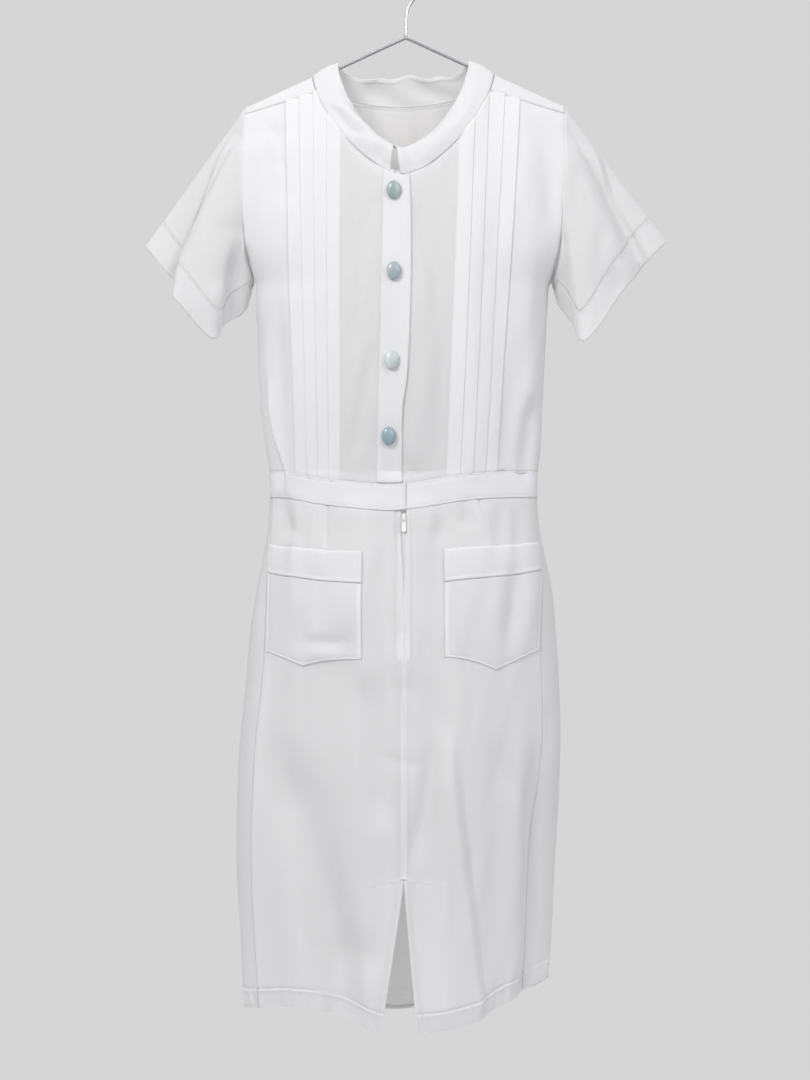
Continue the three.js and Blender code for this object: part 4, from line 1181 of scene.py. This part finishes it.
def bodice_back():
    halves = np.concatenate([np.linspace(0, 0.5, 60), np.linspace(0.504, 0.6, 18), np.linspace(0.61, 1, 44)])
    upper = LOWER_ROWS + np.linspace(0, len(OVER_RIDGE), 29)[1:]
    rows = np.concatenate([np.linspace(0, LOWER_ROWS, 140), upper])
    sides = [(edge, 9, 0.3) for edge in ("first_column", "last_column")]
    cloth(
        "bodice_back", bodice_back_at, np.concatenate([-halves[:0:-1], halves]), rows, -1,
        # Painted whiter where the back comes round to the front, over the shoulders and past the sides
        layers_and_painted_shade=lambda c, r, points: 0.7 * (points[..., 1] < 2),
        sewn=("first_row", "last_row", "first_column", "last_column"), under=("first_row",),
        allowance=sides + [("first_row", 8, 0.3), ("last_row", 6, 0.4)], rests_on=["hanger"],
    )


def placket_at(u, v):
    neck_edge, *_, waist_edge = PLACKET_EDGE["x"]
    low = waist_z(lerp(PLACKET_LEFT["waist"], waist_edge, u)) + SEAM
    high = neck_at(neck_angle(lerp(PLACKET_LEFT["neck"], neck_edge, u)))[..., 2] - SEAM
    z = lerp(low, high, v)
    left = lerp(PLACKET_LEFT["waist"], PLACKET_LEFT["neck"], v)
    return front_at(lerp(left, read(PLACKET_EDGE, "z", z, "x"), u), z)


def placket():
    def lifted(u, v, points):
        return read(PLACKET_EDGE, "z", points[..., 2], "flare") * u**3 - 1.3 * hump(u, 0.07)

    cloth(
        "placket", placket_at, steps(14), steps(130), 1, **DOUBLED_CLOTH, lift=0.3, relief=lifted, doubled=1,
        stitched=[("first_column", 2), ("last_column", 3)],
        rests_on=["bodice_front_left", "bodice_front_right"],
    )


def buttons():
    profile = table(
        "out up",
        (0.01, -1.2), (0.35, -1.2), (0.35, 0), (0.7, 0.02), (0.9, 0.06), (0.98, 0.14), (1, 0.26),
        (0.985, 0.36), (0.95, 0.48), (0.9, 0.58), (0.84, 0.65), (0.75, 0.73), (0.6, 0.84), (0.42, 0.92),
        (0.2, 0.98), (0.01, 1),
    )
    turn = np.linspace(0, 2 * np.pi, 48, endpoint=False)
    out = profile["out"][:, None] / 2
    up = np.where(profile["up"] < 0, profile["up"], profile["up"] * BUTTON["thick"])[:, None]
    across = out * BUTTON["width"] * np.cos(turn) + BUTTON["tilt_x"] * up
    along = out * BUTTON["height"] * np.sin(turn) + BUTTON["tilt_z"] * up
    for i, (x, z) in enumerate(zip(*BUTTONS.values())):
        node = f"button_{i + 1}"
        surface = front_at(np.array([x]), np.array([z]))
        under = ON_TOP + DOUBLED_WALL + 2 * SEAM + BUTTON["shank"] + drape(surface)[0]
        grid = place(x + across, surface[0, 1] - under - up, z + along)
        faces = grid_faces(*grid.shape[:2], True)
        piece = new_piece(clear_name(node), grid, faces, PEARLS[i], sharp=50)
        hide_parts(node)


def collar():
    back = STATIONS["back"]
    left = [np.linspace(STATIONS["first"], 160, 50), np.linspace(161, 200, 40), np.linspace(202, back, 36)]
    stations = np.concatenate(left)
    stations = np.concatenate([stations, 2 * back - stations[-2::-1]])
    slack = COLLAR_SLACK

    def sagging(station, v):
        points = collar_at(station, v)
        across = station - back
        peak = slack["peak"] * hump(across - 3, 13) - slack["sag"] * hump(np.abs(across) - 48, 12)
        peak = peak + slack["wave"] * np.sin(across / 4.3)
        points[..., 2] += peak * v**2 * (1 - smooth(np.abs(across), 50, 80))
        return points

    def pull(station, v, points):
        across = np.abs(station - back)
        rolled = slack["roll"] * np.sin(np.pi * v**1.4) * smooth(across, 95, 160)
        loose = slack["loose"] * np.sin(np.pi * v) * np.sin(station / 6.5 + 2 * v)
        loose = loose * (1 - smooth(across, 30, 75))
        creased = crease_field(COLLAR_CREASES, points[..., 0], points[..., 2]) * smooth(across, 80, 105)
        return rolled + loose + slack["creased"] * creased * np.sin(np.pi * v) ** 0.5

    cloth(
        "collar_band", sagging, stations, steps(20), -1, **DOUBLED_CLOTH, lift=-WALL / 2, relief=pull,
        draped=False, doubled=0.55, sewn=("first_row",), stitched=[("last_row", 3.5)],
        rests_on=["bodice_front_left", "bodice_front_right", "bodice_back"],
    )


def neck_hook():
    """Small wire hook that holds the collar ends together at the top of the gap."""
    hook = NECK_HOOK
    ends = collar_at(np.array([hook["stations"]]), np.full((1, 2), hook["height"]))[0] - [0, hook["proud"], 0]
    share = steps(12)[:, None]
    path = lerp(ends[0], ends[1], share) + np.sin(np.pi * share) * [0, -hook["bow"], hook["bow"]]
    vertices, faces = joined_grids([tube(path, hook["wire"], 8)])
    new_piece("neck_hook.look", vertices, faces, STEEL, sharp=60)


def sleeves():
    stretches = [np.linspace(0, 0.1, 12), np.linspace(0.102, 0.26, 90), np.linspace(0.265, 0.995, 120)]
    turns = np.concatenate(stretches)
    gap = SEAM / 60
    seams = ("first_row", "last_row")
    for side in SIDES:
        def upper(turn, v, side=side):
            return sleeve_at(side, turn, (cuff_start(side, turn) - gap) * v)

        def lower(turn, v, side=side):
            return sleeve_at(side, turn, lerp(cuff_start(side, turn) + gap, 1, v))

        cloth(
            f"sleeve_{side}", upper, turns, steps(64), FACING[side], looped=True, sewn=seams, under=seams,
            allowance=[("first_row", 9, 0.4)], rests_on=["bodice_back", f"bodice_front_{side}"],
        )
        # The cuffs are doubled cloth, but painted little whiter than single cloth: painted shade that keeps
        # them as dark as the sleeve
        cloth(
            f"cuff_{side}", lower, turns, steps(14), FACING[side], **DOUBLED_CLOTH, looped=True, doubled=0.1,
            stitched=[("first_row", 2)], rests_on=[f"sleeve_{side}"],
        )


def waistband():
    """Each part: its angles, mesh columns, and the end that laps over or under with how far out."""
    lap = skirt_angle(np.array(WAIST["lap"]), np.array(WAIST["side"]))
    seam = SIDE_SEAM["waist"]
    parts = [
        ("left", -seam + 0.1, lap + 0.9, 72, 1, 1.1),
        ("right", lap - 0.9, seam - 0.1, 72, 0, -0.5),
        ("back", seam + 0.1, 359.9 - seam, 140, 0, 0),
    ]
    for name, start, stop, columns, end, out in parts:
        def surface(u, v, start=start, stop=stop):
            return waistband_at(signed(lerp(start, stop, u)), 1 - v)

        def lapping(u, v, points, end=end, out=out):
            return out * hump(u - end, 0.08)

        cloth(
            f"waistband_{name}", surface, steps(columns), steps(14), 1, **DOUBLED_CLOTH,
            lift=-DOUBLED_WALL / 3, relief=lapping, doubled=1, stitched=[("first_row", 2), ("last_row", 2)],
            rests_on=["bodice_back", "bodice_front_left", "bodice_front_right"],
        )


# Skirt
def facing_line(side, away):
    """Height of the stitched top of a slit facing, by distance from the centre front."""
    return SLIT["top"] - 2 - FACING_SLOPE[side] * away


def dart_lines(z):
    """Each dart's own line at a height, with its top, bottom and width."""
    for top_x, bottom_x, top, bottom, wide in zip(*DARTS.values()):
        yield lerp(top_x, bottom_x, (z - top) / (bottom - top)), top, bottom, wide


def skirt_layers(c, r, points):
    """Where a second layer lies behind the skirt front, painted whiter: zip facing, slit facings and darts.
    """
    x, z = points[..., 0], points[..., 2]
    show = BEHIND_SKIRT
    left, right = ZIP["stitches"]
    beside_zip = (x > CENTRE + left) & (x < CENTRE + right) & (z > ZIP["end"])
    behind = np.where(z < ZIP["box"], show["zip_box"], show["zip"]) * beside_zip
    for side in SIDES:
        away = (x - CENTRE) * FACING[side]
        line = facing_line(side, away)
        facing = (away > 0) & (away < FACING_WIDE[side])
        from_slit = (x - centre_edge(side, z)) * FACING[side]
        slit_edge = (z < SLIT["top"]) & (from_slit < SLIT["stitch"]) & (away > 0)
        behind = np.maximum(behind, show["facing"] * (facing & (z < line)))
        behind = np.maximum(behind, show["slit_edge"] * slit_edge)
        behind = np.maximum(behind, show["facing_top"] * (facing & (np.abs(z - line - 2) < 2)))
    centre_seam = (np.abs(x - CENTRE) < 2.4) & (z > SLIT["top"]) & (z < ZIP["closed"])
    behind = np.maximum(behind, show["centre"] * centre_seam)
    for line, top, bottom, wide in dart_lines(z):
        strip = (x - line) / wide
        dart = (strip > 0) & (strip < 1 - (top - z) / (top - bottom) * 0.7) & (z > bottom)
        behind = np.maximum(behind, show["dart"] * dart)
    return behind


def skirt_relief(c, r, points):
    """Stitched-in lines of the darts, the centre front, the slit facings and the zip."""
    x, z = points[..., 0], points[..., 2]
    moved = np.zeros_like(x)
    for line, _, bottom, _ in dart_lines(z):
        moved = moved - 2 * hump(x - line, 2) * smooth(z, bottom - 6, bottom + 12)
    closed = smooth(z, SLIT["top"] - 8, SLIT["top"]) * (1 - smooth(z, ZIP["closed"] - 20, ZIP["closed"]))
    moved = moved + closed * (0.4 * hump(np.abs(x - CENTRE) - 3, 1.8) - 0.7 * hump(x - CENTRE, 1.4))
    for side in SIDES:
        away = (x - CENTRE) * FACING[side]
        above = z - facing_line(side, away)
        reach = smooth(away, -2, 0) * (1 - smooth(away, FACING_WIDE[side] - 2, FACING_WIDE[side] + 2))
        moved = moved + reach * (0.8 * hump(above - 2.5, 2.2) - 0.9 * hump(above, 1.6))
    for away in ZIP["stitches"]:
        moved = moved - 1.1 * hump(x - CENTRE - away, 1.6) * smooth(z, ZIP["end"] - 4, ZIP["end"])
    return moved


def skirt():
    rows = np.concatenate([steps(206) * 0.955, 0.955 + 0.045 * steps(12)[1:]])
    columns = np.concatenate([steps(8) * 0.06, 0.06 + 0.94 * steps(66)[1:]])
    hem_stitches = [("first_row", HEM_DEEP - 1.5)]
    for side in SIDES:
        def front(u, v, side=side):
            return skirt_front_at(side, u, 1 - v)

        height = skirt_front_at(side, np.zeros(len(rows)), rows[::-1])[:, 2]
        open_edge = (height > ZIP["closed"]) | (height < SLIT["top"])
        cloth(
            f"skirt_front_{side}", front, columns, 1 - rows[::-1], FACING[side], relief=skirt_relief,
            layers_and_painted_shade=skirt_layers, sewn=("last_row", "last_column"),
            turned=[("first_column", 8, open_edge), ("last_column", 6, False), ("first_row", HEM_DEEP, True),
                    ("last_row", 6, False)],
            allowance=[("first_row", HEM_DEEP, 0.45), ("last_column", 11, 0.25), ("last_row", 9, 0.25)],
            stitched=hem_stitches, rests_on=["waistband_left", "waistband_right"],
        )
    sides = [(edge, 11, 0.25) for edge in ("first_column", "last_column")]
    cloth(
        "skirt_back", lambda u, v: skirt_back_at(u, 1 - v), steps(190), 1 - rows[::-1], 1,
        sewn=("last_row", "first_column", "last_column"),
        turned=[("first_row", 4, True), ("last_row", 6, False)],
        allowance=[("first_row", HEM_DEEP, 0.2)] + sides, stitched=hem_stitches, rests_on=["waistband_back"],
    )


def pockets():
    """Each pocket's bag and band. Their edges are turned in, painted as a line whiter than doubled cloth:
    partly the extra layers, partly a painted highlight along the edge.
    """
    sides = ("first_column", "last_column")
    side_stitches = [(edge, 2) for edge in sides]
    for side in SIDES:
        p = POCKETS[side]

        def band_line(u, p=p):
            return lerp(*p["band"], u)

        def bag(u, v, side=side, p=p):
            return pocket_at(side, u, lambda s: band_line(s, p) - SEAM, lambda s: pocket_bottom(p, s), 1 - v)

        def band(u, v, side=side, p=p):
            return pocket_at(side, u, lambda s: lerp(*p["top"], s), lambda s: band_line(s, p), 1 - v)

        cloth(
            f"pocket_{side}", bag, steps(48), steps(48), FACING[side], lift=0.45,
            relief=lambda u, v, q: 1.6 * np.sin(np.pi * u) * np.sin(np.pi * v) ** 0.6,
            layers_and_painted_shade=lambda u, v, q: np.full(u.shape, 0.25),
            allowance=[(edge, 3.4, 1.2) for edge in ("first_row", *sides)],
            stitched=[("first_row", 2)] + side_stitches, rests_on=[f"skirt_front_{side}"],
        )
        cloth(
            f"pocket_band_{side}", band, steps(40), steps(14), FACING[side], **DOUBLED_CLOTH, lift=0.35,
            doubled=0.55, relief=lambda u, v, q: 0.5 * np.sin(np.pi * v),
            allowance=[("first_row", 3.4, 1.3), ("last_row", 3, 1.3)] + [(edge, 3, 1.2) for edge in sides],
            stitched=[("first_row", 6)] + side_stitches, rests_on=[f"skirt_front_{side}"],
        )


def on_skirt(x, z, lift):
    """Points and normals on the draped skirt front."""
    angle = skirt_angle(x, z)
    points = skirt_at(angle, z)
    along = skirt_at(angle + 0.2, z) - skirt_at(angle - 0.2, z)
    up = skirt_at(skirt_angle(x, z + 1), z + 1) - skirt_at(skirt_angle(x, z - 1), z - 1)
    normals = unit(np.cross(along, up))
    return points + normals * (drape(points) + lift)[:, None], normals


def zip_tape():
    def surface(u, v):
        x = lerp(*ZIP["tape"], u)
        z = lerp(hem_z(np.zeros(1)), skirt_top(np.zeros(1)) - SEAM, v)
        return skirt_at(skirt_angle(x, z), z)

    cloth(
        "zip_tape", surface, steps(10), np.linspace(0.645, 0.995, 70), 1, wall=1, shell=0.5, lift=-ON_TOP - 1,
        doubled=1, rests_on=["skirt_front_left", "skirt_front_right"],
    )


def chain():
    """Closed nylon chain down the middle of the tape, one small rib to each pair of teeth."""
    z = np.arange(ZIP["closed"], ZIP["from"] + 2, 1.5)
    points, normals = on_skirt(np.full_like(z, CENTRE), z, -ON_TOP + 0.1)
    vertices, faces = [], []
    box = np.array([(i, j, k) for i in (-1, 1) for j in (0, 1) for k in (-1, 1)], float) * (1.6, 0.7, 0.5)
    quads = np.array([(0, 1, 3, 2), (4, 6, 7, 5), (0, 4, 5, 1), (2, 3, 7, 6), (0, 2, 6, 4), (1, 5, 7, 3)])
    for i, (p, n) in enumerate(zip(points, normals)):
        vertices.append(p + box[:, :1] * [1, 0, 0] + box[:, 1:2] * n + box[:, 2:] * [0, 0, 1])
        faces.append(quads + 8 * i)
    new_piece("zip_chain.look", np.concatenate(vertices), np.concatenate(faces), NYLON)


def zip_hardware():
    for node in ("zip_slider", "zip_pull"):
        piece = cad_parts[node]
        piece.data.materials.clear()
        piece.data.materials.append(NYLON)
        edge = piece.modifiers.new("rounded", "BEVEL")
        edge.width = 0.25 * MM
        edge.segments = 2


def front_stitching():
    """Rows of stitches at the centre front: beside the zip, across its end and over the slit."""
    top, end = skirt_top(np.zeros(1))[0] - 3, ZIP["end"]
    z = np.linspace(top, end, 200)
    for away in ZIP["stitches"]:
        stitch_row(*on_skirt(CENTRE + np.full_like(z, away), z, WALL / 2))
    x = CENTRE + np.linspace(*ZIP["stitches"], 20)
    stitch_row(*on_skirt(x, np.full_like(x, end), WALL / 2))
    for side in SIDES:
        away = np.linspace(1, FACING_WIDE[side], 40)
        stitch_row(*on_skirt(CENTRE + FACING[side] * away, facing_line(side, away), WALL / 2))
        z = np.linspace(SLIT["top"] - 4, SLIT["bottom"] + 3, 150)
        x = centre_edge(side, z) + FACING[side] * SLIT["stitch"]
        stitch_row(*on_skirt(x, np.maximum(z, hem_z(skirt_angle(x, z)) + 2), WALL / 2))


def along_path(values, run, at):
    """Values of a path at given lengths along it."""
    return np.stack([np.interp(at, run, values[:, k]) for k in range(3)], axis=1)


def stitching():
    """Every row of stitches as small tapered grains of thread: a tip, two rings of four and a tip."""
    vertices, quads, tips, count = [], [], [], 0
    ring = np.array([(-1, 0), (0, 1), (1, 0), (0, -1)], float)
    pairs = [(i, (i + 1) % 4) for i in range(4)]
    sides = np.array([(1 + i, 1 + j, 5 + j, 5 + i) for i, j in pairs])
    ends = np.array([(0, 1 + j, 1 + i) for i, j in pairs] + [(9, 5 + i, 5 + j) for i, j in pairs])
    for points, normals, lift in STITCHES:
        run = lengths(points[None], 1)[0]
        middle = np.arange(STITCH["pitch"] / 2, run[-1], STITCH["pitch"])
        up = unit(along_path(normals, run, middle))
        ahead = unit(along_path(points, run, middle + 0.5) - along_path(points, run, middle - 0.5))
        centre = (along_path(points, run, middle) + up * lift)[:, None]
        beside = np.cross(ahead, up)[:, None] * STITCH["half_wide"]
        cross = ring[None, :, :1] * beside + ring[None, :, 1:] * up[:, None] * STITCH["high"]
        half = ahead[:, None] * STITCH["half_long"]
        grains = [centre - half, centre - half * 0.6 + cross, centre + half * 0.6 + cross, centre + half]
        vertices.append(np.concatenate(grains, axis=1).reshape(-1, 3))
        start = count + 10 * np.arange(len(middle))[:, None, None]
        quads.append((sides[None] + start).reshape(-1, 4))
        tips.append((ends[None] + start).reshape(-1, 3))
        count += 10 * len(middle)
    every_face = np.concatenate(quads).tolist() + np.concatenate(tips).tolist()
    mesh_faces = np.empty(len(every_face), object)
    mesh_faces[:] = every_face
    new_piece("stitching.look", np.concatenate(vertices), mesh_faces, THREAD, sharp=80)


# Studio
def ambient_light():
    world = bpy.data.worlds.new("studio")
    bpy.context.scene.world = world
    world.use_nodes = True
    tree = world.node_tree
    ambient = tree.nodes["Background"]
    ambient.inputs["Color"].default_value = (*AMBIENT["tint"], 1)
    direction = add_node(tree, "ShaderNodeTexCoord").outputs["Generated"]
    height = add_node(tree, "ShaderNodeSeparateXYZ", {0: direction}).outputs["Z"]
    graded = ranged(tree, height, AMBIENT["below"], AMBIENT["above"], lowest=-1)
    tree.links.new(graded, ambient.inputs["Strength"])
    grey = (BACKDROP, BACKDROP, BACKDROP, 1)
    backdrop = add_node(tree, "ShaderNodeBackground", {"Color": grey, "Strength": 1.0})
    seen = add_node(tree, "ShaderNodeLightPath").outputs["Is Camera Ray"]
    mix = add_node(tree, "ShaderNodeMixShader", {0: seen, 1: ambient.outputs[0], 2: backdrop.outputs[0]})
    tree.links.new(mix.outputs[0], tree.nodes["World Output"].inputs["Surface"])


def lamps():
    for name, at, aim, size, energy, tint in LIGHTS:
        light = bpy.data.lights.new(name, "AREA")
        light.size = size
        light.energy = energy
        light.color = tint
        lamp = bpy.data.objects.new(name, light)
        lamp.location = at
        lamp.rotation_euler = (Vector(aim) - Vector(at)).to_track_quat("-Z", "Y").to_euler()
        bpy.context.scene.collection.objects.link(lamp)


def floor():
    turn = np.linspace(0, 2 * np.pi, 96, endpoint=False)
    rings = np.linspace(FLOOR["inner"], FLOOR["outer"], 8)[:, None]
    disc = place(rings * np.cos(turn), rings * np.sin(turn), FLOOR["z"])
    mesh = bpy.data.meshes.new("floor")
    mesh.from_pydata((disc.reshape(-1, 3) * MM).tolist(), [], grid_faces(*disc.shape[:2], True).tolist())
    made, tree, shader = nodes_of("pale floor")
    mottle = noise_node(tree, add_node(tree, "ShaderNodeTexCoord").outputs["Object"], 6.0)
    tree.links.new(colour_between(tree, mottle, FLOOR["dark"], FLOOR["light"]), shader.inputs["Base Color"])
    mesh.materials.append(made)
    ground = bpy.data.objects.new("floor", mesh)
    bpy.context.scene.collection.objects.link(ground)


def camera():
    data = bpy.data.cameras.new("camera")
    data.lens = CAMERA["lens"]
    data.sensor_width = CAMERA["sensor"]
    seen_by = bpy.data.objects.new("camera", data)
    seen_by.location = (CAMERA["x"] * MM, CAMERA["y"] * MM, CAMERA["z"] * MM)
    seen_by.rotation_euler = (math.pi / 2, 0, 0)
    bpy.context.scene.collection.objects.link(seen_by)
    bpy.context.scene.camera = seen_by
    bpy.context.scene.view_settings.view_transform = "Standard"


camera()
ambient_light()
lamps()
floor()
hanger()
bodice_back()
for bodice_side in SIDES:
    bodice_front(bodice_side)
placket()
buttons()
collar()
neck_hook()
sleeves()
waistband()
skirt()
pockets()
zip_tape()
chain()
zip_hardware()
front_stitching()
stitching()
